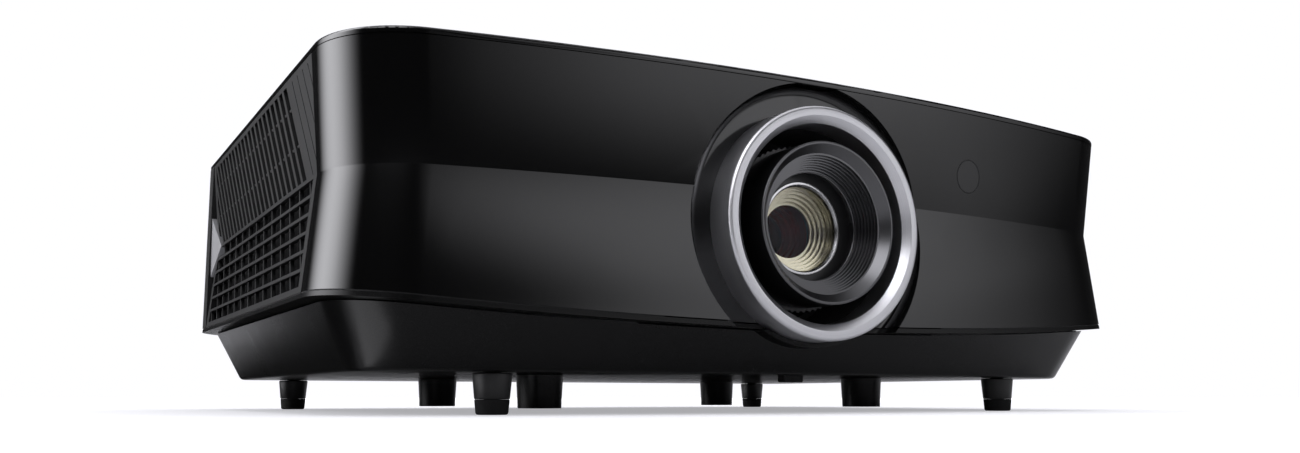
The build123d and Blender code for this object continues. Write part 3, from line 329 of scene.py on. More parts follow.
def light_finish():
    """Clear light pipe with a faint blue glow."""
    material, shader, place = start_finish("light pipe", {"Roughness": 0.25, "Emission Strength": 0.5})
    soft = place.noise(800.0)
    feed(shader["Base Color"], soft.blend(*pipe_colours))
    feed(shader["Emission Color"], soft.blend(*pipe_glows))
    return material


def glass_finish(name, tint, index, mirror):
    """Optical glass of the given tint, whose coat leaves only a share of the mirror on it, and a breath of
    dust."""
    constants = {"Base Color": tint, "Transmission Weight": 1.0, "IOR": index}
    constants["Specular Tint"] = (mirror, mirror, mirror * coat_blue, 1)
    material, shader, place = start_finish(name, constants)
    feed(shader["Roughness"], place.noise(500.0) * dust)
    return material


board = board_finish()
light = light_finish()
front_coat = glass_finish("front glass", (0.98, 0.97, 0.92, 1), 1.42, 0.1)
inner_coat = glass_finish("inner glass", (0.45, 0.10, 0.08, 1), 1.52, 0.4)
print("finishes:", len(bpy.data.materials))

# %% [markdown]
# ## Dress the solids
#
# Each solid already knows its material slot, so one table from slot to finish dresses nearly all of
# them. A second, short table names the few that look different from the rest of their slot. The pieces
# made below then take the place of some of the solids.

# %% Dress the solids
slot_finish = dict(
    gloss_black=gloss_black, satin_black=satin_black, grille=grille_grey, silver=silver,
    gunmetal=gunmetal, well_black=well_black, dark_window=window_black, lens_black=lens_black,
    bright_metal=bright_metal, glass=front_coat, cast_alloy=cast_alloy, heat_sink=heat_sink,
    fan_black=fan_black, phosphor=phosphor, board=board, key_black=key_black, light=light, brass=brass,
    foot_black=foot_black, rubber=rubber,
)
other_finish = dict(
    lower_trim=satin_black, network_port=key_black, left_wedge=silver_paint, right_wedge=silver_paint,
)
for part in frame["record"]["subparts"]:
    finish = other_finish.get(part["node"], slot_finish[part["material_slot"]])
    for holder in nodes[part["node"]].material_slots:
        holder.material = finish
print("dressed solids:", len(nodes))

# %% [markdown]
# ## Smooth shells
#
# A gloss shell is a mirror, and a mirror shows every facet. The solids come as loose triangles, each
# with its own flat normal. Merging a copy of them lets Blender average the normals over the round
# corners, while edges sharper than a set angle stay crisp. The copy has the same shape, so it simply
# takes the solid's place.

# %% Smooth shells
shell_merge = 2e-6
shell_sliver = 1e-7


def add_piece(name, mesh, body, finish, stands_for, sharp):
    """Object of a mesh on a body of the model, smooth except at edges sharper than the given angle. It
    takes the place of the nodes that it stands for."""
    mesh.shade_smooth()
    mesh.set_sharp_from_angle(angle=math.radians(sharp))
    mesh.materials.clear()
    mesh.materials.append(finish)
    piece = bpy.data.objects.new(name, mesh)
    bpy.context.scene.collection.objects.link(piece)
    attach(piece, body)
    if stands_for:
        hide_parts(*stands_for)
    print(name, "faces:", len(mesh.polygons))


def smooth_shell(name, node, finish, sharp=24.0):
    """Merged copy of a solid of the base, without the flat normals that came with it."""
    mesh = bpy.data.meshes.new(name)
    shape = bmesh.new()
    shape.from_mesh(nodes[node].data)
    bmesh.ops.remove_doubles(shape, verts=shape.verts, dist=shell_merge)
    bmesh.ops.dissolve_degenerate(shape, edges=shape.edges, dist=shell_sliver)
    shape.to_mesh(mesh)
    shape.free()
    for layer in ("custom_normal", "sharp_edge", "sharp_face"):
        if layer in mesh.attributes:
            mesh.attributes.remove(mesh.attributes[layer])
    add_piece(name, mesh, "base", finish, [node], sharp)


smooth_shell("front_shell", "front_panel", gloss_black, 7.5)
smooth_shell("cover_shell", "top_cover", gloss_black)
smooth_shell("tub_shell", "base_tub", satin_black)

# %% [markdown]
# ## Turned outlines
#
# A lens is mostly turned work: a profile carried round an axis. The profile is an outline of radius and
# place along the axis, its corners are rounded, and numpy turns all of it at once. A modelled edge
# radius matters more than any texture here, because the thin bright line on an edge is what makes metal
# look like metal.

# %% Turned outlines
def unit(vectors):
    """Vectors scaled to length 1."""
    return vectors / np.linalg.norm(vectors, axis=-1, keepdims=True)


def rounded(corners, radii, steps=6):
    """Closed outline whose corners are arcs: each arc's centre lies on the corner's bisector, one radius
    from both sides, and its points turn evenly from one side to the other. A radius of 0 keeps a sharp
    corner."""
    corner = np.array(corners, float)
    radius = np.array(radii, float)[:, None]
    back = unit(np.roll(corner, 1, 0) - corner)
    ahead = unit(np.roll(corner, -1, 0) - corner)
    half = np.arccos((back * ahead).sum(1, keepdims=True)) / 2
    centre = corner + unit(back + ahead) * radius / np.sin(half)
    start = (corner + back * radius / np.tan(half) - centre)[:, None]
    end = (corner + ahead * radius / np.tan(half) - centre)[:, None]
    turn = (np.pi - 2 * half)[:, None]
    share = np.linspace(0, 1, steps)[None, :, None]
    arc = (np.sin((1 - share) * turn) * start + np.sin(share * turn) * end) / np.sin(turn)
    return (centre[:, None] + arc).reshape(-1, 2)


def turn_about(profile, centre, upright=False, turns=160, swell=None):
    """Points of a closed profile of (radius, place) turned about an axis through centre. The point at
    angle a is centre + radius (cos a, sin a) across the axis + place along it. Swell adds a function of a
    to the radius."""
    angle = np.linspace(0, 2 * np.pi, turns, endpoint=False)[:, None]
    radius = np.repeat(profile[None, :, 0], turns, 0)
    along = np.repeat(profile[None, :, 1], turns, 0)
    if swell is not None:
        radius = radius + swell(angle)
    across = radius * np.cos(angle)
    beside = radius * np.sin(angle)
    points = (across, beside, along) if upright else (across, along, beside)
    return np.stack(points, -1) + np.array(centre)


print("points of a rounded square:", len(rounded([(0, 0), (1, 0), (1, 1), (0, 1)], [0.1] * 4)))

# %% [markdown]
# ## The bezel
#
# The bezel is a thick turned ring with a flat face, a bevel inside and a small round on its outer edge.
# Its grid of points becomes a mesh by joining each point with the next ones round the axis and along
# the outline, so that it closes on itself both ways. The Spin tool would do for a plain ring, but a
# grid also takes the teeth and the threads that come later.

# %% Bezel
grid_merge = 1e-7
grid_sliver = 1e-8


def make_piece(name, points, body, finish, stands_for=(), sharp=35.0, loop=True):
    """Closed mesh from a grid of points that wraps in both directions, riding on a body of the model.
    Without a loop its rows don't wrap, and its first and last row have to be single points."""
    rows, columns = points.shape[:2]
    row, column = np.meshgrid(np.arange(rows), np.arange(columns), indexing="ij")
    row_after = (row + 1) % rows
    column_after = (column + 1) % columns
    corners = (row * columns + column, row * columns + column_after)
    corners += (row_after * columns + column_after, row_after * columns + column)
    quads = np.stack(corners, -1).reshape(-1, 4)
    quads = quads if loop else quads[:-columns]
    mesh = bpy.data.meshes.new(name)
    mesh.from_pydata(points.reshape(-1, 3).tolist(), [], quads.tolist())
    shape = bmesh.new()
    shape.from_mesh(mesh)
    bmesh.ops.remove_doubles(shape, verts=shape.verts, dist=grid_merge)
    bmesh.ops.dissolve_degenerate(shape, edges=shape.edges, dist=grid_sliver)
    bmesh.ops.recalc_face_normals(shape, faces=shape.faces)
    shape.to_mesh(mesh)
    shape.free()
    add_piece(name, mesh, body, finish, stands_for, sharp)


axis_place = (lens_x, 0, lens_z)
bezel_radius = (bezel_high.x - bezel_low.x) / 2
bezel_face = 52.7 * mm
bezel_throat = 49.2 * mm
bezel_bevel = 3.6 * mm
bezel_face_round = 0.35 * mm
bezel_edge_round = 1.8 * mm
bezel_bevel_round = 0.8 * mm
bezel_turns = 256
bezel_profile = rounded(
    [
        (bezel_face, bezel_low.y), (bezel_radius, bezel_low.y), (bezel_radius, bezel_high.y),
        (bezel_throat, bezel_high.y), (bezel_throat, bezel_low.y + bezel_bevel),
    ],
    [bezel_face_round, bezel_edge_round, 0, 0, bezel_bevel_round],
)
bezel_points = turn_about(bezel_profile, axis_place, turns=bezel_turns)
make_piece("bezel_ring", bezel_points, "base", gunmetal, ["lens_bezel"])

# %% [markdown]
# ## The well
#
# Behind the bezel a dark well hides the inside of the casing, and fine ridges keep it from shining, as
# those of a lens hood do. They could be a bump, but light falls into the well at a slant and shows
# their edges, so they are in the outline: a saw that rises over each ridge's length and drops back at
# its end.

# %% Well
well_low, well_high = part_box("lens_well")
well_radius = (well_high.x - well_low.x) / 2
well_flange_radius = 46.0 * mm
well_flange = 2.0 * mm
ridges = 14
points_per_ridge = 8
ridge_height = 0.5 * mm
share = np.linspace(0, 1, points_per_ridge * ridges + 1)
ridge_radius = bezel_throat + ridge_height * (share * ridges % 1.0)
ridge_place = well_high.y - well_flange + (well_low.y - well_high.y + well_flange) * share
well_profile = np.concatenate(
    [
        [(well_radius, well_low.y), (well_radius, well_high.y)],
        [(well_flange_radius, well_high.y), (well_flange_radius, well_high.y - well_flange)],
        np.stack([ridge_radius, ridge_place], -1),
    ]
)
well_points = turn_about(well_profile, axis_place)
make_piece("well_tube", well_points, "base", well_black, ["lens_well"])

# %% [markdown]
# ## The path of the dust seal
#
# A thin frame lies between the tub and the shells, with a hair's breadth of air on both sides of it. A
# real casing has strips of foam in such a joint, so that no light comes through. Drawing their path by
# hand would be guesswork, so the paths are read from the upper edges of the frame itself: its corner
# points are sorted by their bearing from the middle, and a formula tells the inner edge from the outer
# one.

# %% Path of the dust seal
trim_low, trim_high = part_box("lower_trim")
trim_half = (trim_high.x - trim_low.x) / 2
trim_thick = 2.2 * mm
seam_dip = trim_high.z - trim_low.z - trim_thick
plan_middle = np.array([0, (trim_low.y + trim_high.y) / 2])
plan_half = np.array([trim_half, (trim_high.y - trim_low.y) / 2])
inner_edge = 0.953
front_power = 7.0
rear_power = 40.0


def mesh_places(mesh):
    """Corner points of a mesh, one in each row."""
    places = np.empty(3 * len(mesh.vertices))
    mesh.vertices.foreach_get("co", places)
    return places.reshape(-1, 3)


def frame_top(x):
    """Height of the frame's upper face, which dips to the middle: the dip grows with 1 - (x / half width)
    squared."""
    return trim_high.z - seam_dip * (1 - (x / trim_half) ** 2)


def edge_share(plan):
    """How far out a point of the frame lies, 1 being its box: the sum of both shares of the half sides,
    each raised to a power, and the root of it. The rear corners are squarer than the front ones, so their
    power is higher."""
    share = np.abs((plan - plan_middle) / plan_half)
    power = np.where(plan[:, 1] > plan_middle[1], rear_power, front_power)
    return (share ** power[:, None]).sum(1) ** (1 / power)


trim_places = mesh_places(nodes["lower_trim"].data)
on_top = trim_places[trim_places[:, 2] > frame_top(trim_places[:, 0]) - trim_thick / 2][:, :2]
bearing = np.arctan2(on_top[:, 0] - lens_x, plan_middle[1] - on_top[:, 1])
on_top = on_top[np.argsort(bearing % (2 * np.pi))]
inside = edge_share(on_top) < inner_edge
print("corner points on the inner and the outer edge:", inside.sum(), (~inside).sum())

# %% [markdown]
# ## The dust seal and the gaskets
#
# An upright strip is carried along each path. Two gaskets fill the gaps above and below the frame and
# stop at the dish of the lens. The seal stands behind the frame and goes all the way round, and below
# the lens it stays under the well. Strips with equal steps bend evenly, so a path's points are spaced
# out along its length first.

# %% Dust seal and gaskets
seam_gap = 0.6 * mm
seal_stations = 260
seal_faces = (1.6 * mm, 2.8 * mm)
seal_below = 0.5 * mm
seal_above = 5.0 * mm
well_clearance = 0.3 * mm
dish_reach = 66.0 * mm
path_reach = 2


def even_path(corners, count):
    """Points on the line through the corners, at equal steps of its length."""
    length = np.concatenate([[0], np.cumsum(np.linalg.norm(np.diff(corners, axis=0), axis=1))])
    stations = np.linspace(0, length[-1], count)
    x, y = (np.interp(stations, length, corners[:, axis]) for axis in (0, 1))
    return np.stack([x, y], -1)


def strip_points(path, outer, inner, low, high):
    """Upright strip along a path: its faces lie at two distances to the left of the path, its edges at two
    heights. The path's direction is taken between the points a few steps behind and ahead."""
    ahead = unit(np.roll(path, -path_reach, 0) - np.roll(path, path_reach, 0))
    left = np.stack([-ahead[:, 1], ahead[:, 0]], -1)
    near = path + left * outer
    far = path + left * inner
    sides = (np.column_stack([near, low]), np.column_stack([near, high]))
    sides += (np.column_stack([far, high]), np.column_stack([far, low]))
    return np.stack(sides, 1)


def open_strip(rows):
    """Rows of a strip that doesn't close: those at its ends, whose direction is wrong, are dropped, and a
    copy of each end row, shrunk to its middle, closes it."""
    rows = rows[path_reach:-path_reach]
    ends = np.repeat(rows[[0, -1]].mean(1, keepdims=True), rows.shape[1], 1)
    return np.concatenate([ends[:1], rows, ends[1:]])


ring_path = even_path(np.concatenate([on_top[inside], on_top[inside][:1]]), seal_stations + 1)[:-1]
beside_well = np.clip(1 - ((ring_path[:, 0] - lens_x) / well_radius) ** 2, 0, None)
under_well = lens_z - well_radius * np.sqrt(beside_well) - well_clearance
under_well = np.where((beside_well > 0) & (ring_path[:, 1] < 0), under_well, np.inf)
ring_top = frame_top(ring_path[:, 0])
seal_low = ring_top - trim_thick - seal_below
seal_high = np.minimum(ring_top + seal_above, under_well)
seal = strip_points(ring_path, *seal_faces, seal_low, seal_high)
make_piece("dust_seal", seal, "base", well_black)

for name, chosen, outer, inner, drop in (
    ("upper_gasket", ~inside, 0.4 * mm, 2.7 * mm, 0.0),
    ("lower_gasket", inside, -3.4 * mm, -0.6 * mm, trim_thick + seam_gap),
):
    open_path = on_top[chosen]
    beyond_dish = (np.abs(open_path[:, 0] - lens_x) > dish_reach) | (open_path[:, 1] > 0)
    open_path = even_path(open_path[beyond_dish], seal_stations)
    gasket_low = frame_top(open_path[:, 0]) - drop
    gasket = open_strip(strip_points(open_path, outer, inner, gasket_low, gasket_low + seam_gap))
    make_piece(name, gasket, "base", well_black, loop=False)

# %% [markdown]
# ## The filter and the air guides behind the grilles
#
# Without something behind them, one would look through both grilles and out on the other side. The left
# grille is the intake, and such a projector has a pleated dust filter there: a strip whose path goes to
# and fro as a sine. The right one is the exhaust, where plain plates guide the air past the fans, so
# these are the same strip with no pleats.

# %% Filter and air guides
grille_low, grille_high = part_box("left_grille")
fans_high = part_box("fan_frames")[1]
guide_wall = 1.2 * mm
guide_margin = 1.0 * mm
guide_stations = 400
pleat_length = 6.0 * mm
pleat_depth = 0.9 * mm
behind_grille = 3.0 * mm
into_cover = 3.0 * mm


def side_strip(name, x, front, rear, low, high, depth, finish):
    """Upright strip along Y at x. Its path swings by depth times the sine of y over the pleat's length."""
    y = np.linspace(rear, front, guide_stations)
    path = np.stack([x + depth * np.sin(2 * np.pi * y / pleat_length), y], -1)
    level = np.ones(len(y))
    rows = open_strip(strip_points(path, 0.0, guide_wall, low * level, high * level))
    make_piece(name, rows, "base", finish, loop=False)


filter_x = grille_high.x + behind_grille
guide_x = -filter_x
front = grille_low.y + guide_margin
rear = grille_high.y - guide_margin
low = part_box("base_tub")[1].z + guide_margin
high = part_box("top_cover")[0].z + into_cover
over_fans = fans_high.z + guide_margin
behind_fans = fans_high.y + guide_margin
side_strip("intake_filter", filter_x, front, rear, low, high, pleat_depth, foam_grey)
side_strip("upper_air_guide", guide_x, front, rear, over_fans, high, 0.0, fan_black)
side_strip("rear_air_guide", guide_x, behind_fans, rear, low, over_fans - guide_margin, 0.0, fan_black)

# %% [markdown]
# ## A painted shade ring round the remote control's window
#
# The round window sits flush in the front, and what draws it is the shade in the narrow gap round its
# edge. That shade is painted here: a flat ring of flocked black, a hair proud of the face, stands for it.
# The front leans and bows there, so the ring is turned flat first, and then each point is moved along the
# axis by a plane fitted to the window's own face.

# %% Window painted shade ring
window_low, window_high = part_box("remote_window")
window_middle = ((window_low.x + window_high.x) / 2, 0, (window_low.z + window_high.z) / 2)
window_radius = (window_high.x - window_low.x) / 2
faces_front = -0.9
window_mesh = nodes["remote_window"].data
triangles = len(window_mesh.polygons)
normals = np.empty(3 * triangles)
window_mesh.polygons.foreach_get("normal", normals)
corner_numbers = np.empty(3 * triangles, np.int32)
window_mesh.loops.foreach_get("vertex_index", corner_numbers)
on_face = normals.reshape(-1, 3)[:, 1] < faces_front
face_places = mesh_places(window_mesh)[np.unique(corner_numbers.reshape(-1, 3)[on_face])]
plane_terms = np.column_stack([np.ones(len(face_places)), face_places[:, 0], face_places[:, 2]])
plane = np.linalg.lstsq(plane_terms, face_places[:, 1], rcond=None)[0]

# Painted shade: a flat black ring over the window's edge stands for the shade in the gap round it.
shade_ring_inner = window_radius - 0.35 * mm
shade_ring_outer = window_radius + 0.40 * mm
shade_ring_front = -0.06 * mm
shade_ring_back = 0.4 * mm
shade_ring_round = 0.03 * mm
shade_ring_turns = 96
shade_ring_profile = rounded(
    [
        (shade_ring_inner, shade_ring_front), (shade_ring_outer, shade_ring_front), (shade_ring_outer, shade_ring_back),
        (shade_ring_inner, shade_ring_back),
    ],
    [shade_ring_round, shade_ring_round, 0, 0],
    steps=4,
)
shade_ring_points = turn_about(shade_ring_profile, window_middle, turns=shade_ring_turns)
shade_ring_points[..., 1] += plane[0] + plane[1] * shade_ring_points[..., 0] + plane[2] * shade_ring_points[..., 2]
# This black ring is painted shade, not a cut groove: it lies a hair in front of the face.
make_piece("window_shade_ring", shade_ring_points, "base", well_black)
print("lean of the window:", np.round(np.degrees(np.arctan(plane[1:])), 2))

# %% [markdown]
# ## The focus ring
#
# The focus ring ends in a thin rim. Inside it a smooth cone runs to a funnel of fine steps, which keep
# stray light out of the picture, and a round bead closes the funnel in front of the glass. All of it is
# one outline: the steps are two rows of numbers, each repeated once, with one row shifted by a place.

# %% Focus ring
focus_low, focus_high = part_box("focus_ring")
focus_front = focus_low.y
focus_radius = (focus_high.x - focus_low.x) / 2
focus_rim = 1.4 * mm
rim_small_round = 0.3 * mm
rim_edge_round = 0.6 * mm
funnel_radius = 34.7 * mm
funnel_depth = 4.5 * mm
funnel_steps = 8
throat_radius = 27.2 * mm
throat_depth = 15.0 * mm
seat_place = focus_front + 17.5 * mm
sleeve_radius = 36.06 * mm
bead_radius = 0.55 * mm
bead_points = 8
focus_turns = 192
step_radius = np.repeat(np.linspace(funnel_radius, throat_radius, funnel_steps + 1), 2)
step_place = focus_front + np.repeat(np.linspace(funnel_depth, throat_depth, funnel_steps + 1), 2)
bead_angle = np.linspace(0, np.pi, bead_points, endpoint=False)
bead_across = throat_radius - bead_radius * np.sin(bead_angle)
bead_along = step_place[-1] - bead_radius * np.cos(bead_angle)
bead = np.stack([bead_across, bead_along], -1)
funnel = np.stack([step_radius[1:], step_place[:-1]], -1)[:-1]
rim_outline = rounded(
    [
        (focus_radius - focus_rim, focus_front), (focus_radius, focus_front),
        (focus_radius, focus_high.y), (sleeve_radius, focus_high.y), (sleeve_radius, seat_place),
        (throat_radius, seat_place),
    ],
    [rim_small_round, rim_edge_round, rim_small_round, 0, 0, 0],
)
focus_profile = np.concatenate([rim_outline, bead[::-1], funnel[::-1]])
focus_points = turn_about(focus_profile, axis_place, turns=focus_turns)
make_piece("focus_ring_turned", focus_points, "focus", cone_grey, ["focus_ring"], 25.0)

# %% [markdown]
# ## The zoom ring
#
# The zoom ring behind it has rounded teeth for the fingers. Copying a tooth round the ring would leave
# seams between the copies, so the radius of the whole ring swells with the cosine of the angle instead.

# %% Zoom ring
zoom_low, zoom_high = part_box("zoom_ring")
tooth_height = 1.0 * mm
teeth = 72
points_per_tooth = 8
zoom_round = 0.5 * mm
zoom_radius = (zoom_high.x - zoom_low.x) / 2 - tooth_height
zoom_profile = rounded(
    [
        (sleeve_radius, zoom_low.y), (zoom_radius, zoom_low.y), (zoom_radius, zoom_high.y),
        (sleeve_radius, zoom_high.y),
    ],
    [0, zoom_round, zoom_round, 0],
)
outer_share = np.clip((zoom_profile[:, 0] - sleeve_radius) / (zoom_radius - sleeve_radius), 0, 1)


def tooth_swell(angle):
    """Height of the teeth at an angle: a raised cosine, full on the rim and nothing in the bore."""
    return outer_share[None, :] * tooth_height * (0.5 + 0.5 * np.cos(teeth * angle))


zoom_points = turn_about(zoom_profile, axis_place, turns=points_per_tooth * teeth, swell=tooth_swell)
make_piece("zoom_ring_toothed", zoom_points, "zoom", lens_black, ["zoom_ring"])

# %% [markdown]
# ## Glass
#
# A lens is a disc with two bulging faces and a flat land at its edge, where the cell holds it. Its
# faces are arcs of a circle through the bulge and the edge of the land. The light bends twice in it, so
# its normals have to be smooth: the disc is turned finely.

# %% Glass
glass_land = 2.0 * mm
glass_face_points = 28
glass_turns = 128
glass_sharp = 30.0


def lens_profile(radius, front, back, bulge):
    """Outline of a lens: on each face the height above the land is the circle's sagitta, which is
    the root of (ball squared - radius squared) less the same at the land."""
    clear = radius - glass_land
    ball = (clear ** 2 + bulge ** 2) / (2 * bulge)
    reach = clear * np.linspace(0, 1, glass_face_points)
    rise = np.sqrt(ball ** 2 - reach ** 2) - (ball - bulge)
    front_face = np.stack([reach, front - rise], -1)
    back_face = np.stack([reach, back + rise], -1)[::-1]
    return np.concatenate([front_face, [(radius, front), (radius, back)], back_face])


def add_glass(name, node, body, coat, bulge, thickness=None):
    """Lens that takes the place of a glass solid, whose box includes its two bulges. A thickness keeps the
    front of the solid and leaves its back to the steps."""
    low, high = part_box(node)
    radius = (high.x - low.x) / 2
    back = low.y + thickness if thickness else high.y
    profile = lens_profile(radius, low.y + bulge, back - bulge, bulge)
    points = turn_about(profile, axis_place, turns=glass_turns)
    make_piece(name, points, body, coat, [node], glass_sharp)


add_glass("front_glass", "front_lens", "front_group", front_coat, bulge=0.8 * mm, thickness=2.6 * mm)
add_glass("zoom_glass", "zoom_lens", "zoom_group", inner_coat, bulge=2.6 * mm)
add_glass("rear_glass", "rear_lens", "lens_carriage", inner_coat, bulge=2.0 * mm)

# %% [markdown]
# ## The retainer
#
# A bright threaded ring holds the front glass in its cell. Only its flared face shows, so it is a plain
# turned outline with two small rounds, which catch the light as a thin line.

# %% Retainer
retainer_low, retainer_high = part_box("front_lens_retainer")
retainer_radius = 23.4 * mm
retainer_throat = 21.4 * mm
retainer_flare = 0.8 * mm
retainer_round = 0.2 * mm
retainer_profile = rounded(
    [
        (retainer_throat, retainer_high.y), (retainer_throat + retainer_flare, retainer_low.y),
        (retainer_radius, retainer_low.y), (retainer_radius, retainer_high.y),
    ],
    [0, retainer_round, retainer_round, 0],
)
retainer_points = turn_about(retainer_profile, axis_place)
retained = ["front_lens_retainer"]
make_piece("glass_retainer", retainer_points, "front_group", bright_metal, retained)

# %% [markdown]
# ## The steps behind the glass
#
# Behind the front glass the bore narrows in plated steps, which is what the eye takes for the depth of
# a lens. One outline does it: a wall along the axis, a land across it, and a narrow groove in the
# corner, which stays dark and draws the line between two steps.

# %% Steps behind the glass
step_groove_width = 0.45 * mm
step_groove_depth = 0.9 * mm
rib_wall = 0.4 * mm
step_sharp = 20.0


def step_profile(outer, wide, narrow, front, back, count):
    """Outline of a stepped bore. Every step has five corners: the wall's start and end, the groove's two
    inner corners, and the land's start; the next wall starts where the land ends."""
    radius = np.linspace(wide, narrow, count + 1)
    place = np.linspace(front, back - step_groove_depth - rib_wall, count + 1)
    start = np.stack([radius[:-1], place[:-1]], -1)
    end = np.stack([radius[:-1], place[1:]], -1)
    deep_outer = end + (0, step_groove_depth)
    deep_inner = end + (-step_groove_width, step_groove_depth)
    land = end + (-step_groove_width, 0)
    bore = np.stack([start, end, deep_outer, deep_inner, land], 1).reshape(-1, 2)
    return np.concatenate([bore, [(narrow, place[-1]), (narrow, back), (outer, back), (outer, front)]])


def add_steps(name, body, finish, **sizes):
    """Stepped bore of the given sizes on a body of the lens."""
    points = turn_about(step_profile(**sizes), axis_place)
    make_piece(name, points, body, finish, sharp=step_sharp)


glass_low, glass_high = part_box("front_lens")
glass_radius = (glass_high.x - glass_low.x) / 2
front_place = {"front": glass_low.y + 2.8 * mm, "back": glass_high.y}
front_size = {"outer": glass_radius, "wide": 21.4 * mm, "narrow": 13.0 * mm, "count": 5}
add_steps("front_steps", "front_group", step_beige, **front_size, **front_place)
cell_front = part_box("zoom_lens_cell")[0].y
deep_place = {"front": cell_front - 7.6 * mm, "back": cell_front - 0.4 * mm}
deep_size = {"outer": 18.6 * mm, "wide": 15.0 * mm, "narrow": 10.5 * mm, "count": 3}
add_steps("deep_steps", "zoom_group", step_brown, **deep_size, **deep_place)

# %% [markdown]
# ## The screw feet
#
# A foot is a tapered cup on a threaded stud, with a rubber tip that it turns in. The stud shows when a
# foot is screwed out, so it has a real thread: its radius falls off with the distance from the nearest
# crest of a helix. A bump would leave the stud's edge straight, and the edge is where a thread is seen.

# %% Screw feet
foot_top_radius = 9.25 * mm
foot_low_radius = 8.1 * mm
foot_top_level = 19.2 * mm
foot_low_round = 0.5 * mm
foot_top_round = 0.8 * mm
foot_turns = 48
stud_radius = 4.0 * mm
stud_pitch = 1.25 * mm
stud_stations = 110
thread_depth = 0.6 * mm
tip_height = 7.0 * mm
tip_gap = 0.04 * mm


def foot_points(low, high, centre):
    """Cup, spigot and stud as one turned outline; the stud's radius follows the helix, a triangle wave of
    height / pitch - angle / full turn."""
    cup = rounded(
        [
            (0, low), (stud_radius, low), (stud_radius, tip_height + tip_gap),
            (foot_low_radius, tip_height + tip_gap), (foot_top_radius, foot_top_level),
            (stud_radius, foot_top_level),
        ],
        [0, 0, 0, foot_low_round, foot_top_round, 0],
    )[1:]
    heights = np.linspace(foot_top_level, high, stud_stations)
    stud = np.stack([np.full(stud_stations, stud_radius), heights], -1)
    profile = np.concatenate([cup, stud, [(0, high), (0, low)]])
    on_stud = np.zeros(len(profile))
    on_stud[len(cup) + 1:-3] = 1.0  # the stud's first and last point stay round

    def thread(angle):
        """Depth of the thread below its crest."""
        phase = (profile[None, :, 1] / stud_pitch - angle / (2 * np.pi)) % 1.0
        return -on_stud[None, :] * thread_depth * np.abs(2 * phase - 1)

    return turn_about(profile, centre, True, foot_turns, thread)


# %% [markdown]
# ## The rubber tips
#
# A tip is a short rubber cup that stays still while the foot turns in it, so it is a piece of its own
# on its own body. Its wall leaves a little room round the foot's spigot, as a real fit does. All four
# feet are alike, and each takes its place from its solid.

# %% Feet and rubber tips
tip_low_radius = 7.4 * mm
tip_low_round = 1.2 * mm
tip_top_round = 0.4 * mm
tip_turns = 64
spigot_room = stud_radius + 0.06 * mm
spigot_clearance = 0.3 * mm
for name in ("front_left", "front_right", "rear_left", "rear_right"):
    foot_low, foot_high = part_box(f"foot_{name}")
    centre = ((foot_low.x + foot_high.x) / 2, (foot_low.y + foot_high.y) / 2, 0)
    points = foot_points(foot_low.z, foot_high.z, centre)
    make_piece(f"screw_foot_{name}", points, f"foot_{name}", foot_black, [f"foot_{name}"])
    tip_floor = foot_low.z - spigot_clearance
    tip_profile = rounded(
        [
            (0, 0), (tip_low_radius, 0), (foot_low_radius, tip_height), (spigot_room, tip_height),
            (spigot_room, tip_floor), (0, tip_floor),
        ],
        [0, tip_low_round, tip_top_round, 0, 0, 0],
    )
    points = turn_about(tip_profile, centre, True, tip_turns)
    make_piece(f"rubber_tip_{name}", points, f"foot_pad_{name}", rubber, [f"foot_pad_{name}"])

# %% [markdown]
# ## The floor
#
# The projector stands on a pale sheet that runs into a white room without a line. A bent backdrop would
# do that too, but the gloss casing would mirror its bend. So the floor is flat and wide, and it glows
# to the camera, more so further out, until it has the white of the room.

# %% Floor
half_floor = 20.0
floor_greys = (grey(0.82), grey(0.84))
near_glow = 0.4
glow_start = (1.6, 1.8)


def floor_finish():
    """Matt pale floor, which glows to the camera: the glow grows with the distance from the middle."""
    constants = {"Roughness": 1.0, "Specular IOR Level": 0.0, "Emission Strength": 1.0}
    material, shader, place = start_finish("pale floor", constants)
    feed(shader["Base Color"], place.noise(3.0).blend(*floor_greys))
    camera_ray = place.make("ShaderNodeLightPath", None, None, "Is Camera Ray")
    distance = place.make("ShaderNodeVectorMath", {"operation": "LENGTH"}, {0: place}, "Value")
    glow = near_glow + distance.above(*glow_start) * (1 - near_glow)
    feed(shader["Emission Color"], (camera_ray * glow).blend(grey(0.0), grey(1.0)))
    return material


def stage_mesh(name, points, faces, finish):
    """Object of the stage, which isn't part of the projector."""
    mesh = bpy.data.meshes.new(name)
    mesh.from_pydata(points, [], faces)
    mesh.materials.append(finish)
    holder = bpy.data.objects.new(name, mesh)
    bpy.context.scene.collection.objects.link(holder)
    return holder


def level_sheet(name, left, right, near, far, level, finish):
    """Flat rectangle of the stage between the given places in metres."""
    corners = [(left, near, level), (right, near, level), (right, far, level), (left, far, level)]
    return stage_mesh(name, corners, [(0, 1, 2, 3)], finish)


level_sheet("floor", -half_floor, half_floor, -half_floor, half_floor, 0, floor_finish())
print("floor in metres:", 2 * half_floor)

# %% [markdown]
# ## Cards to mirror
#
# A gloss black object shows its surroundings more than itself, so the studio is built from what the
# casing should mirror. The face above the crease leans forwards and mirrors what stands low; the face
# below it leans back and mirrors what stands higher. Photographers set up cards for this. Here they are
# patches of one wide ring, each given by bearing and height and with soft edges. Neither the camera nor
# the matt parts see the ring, so it shows in mirrors and glass alone.

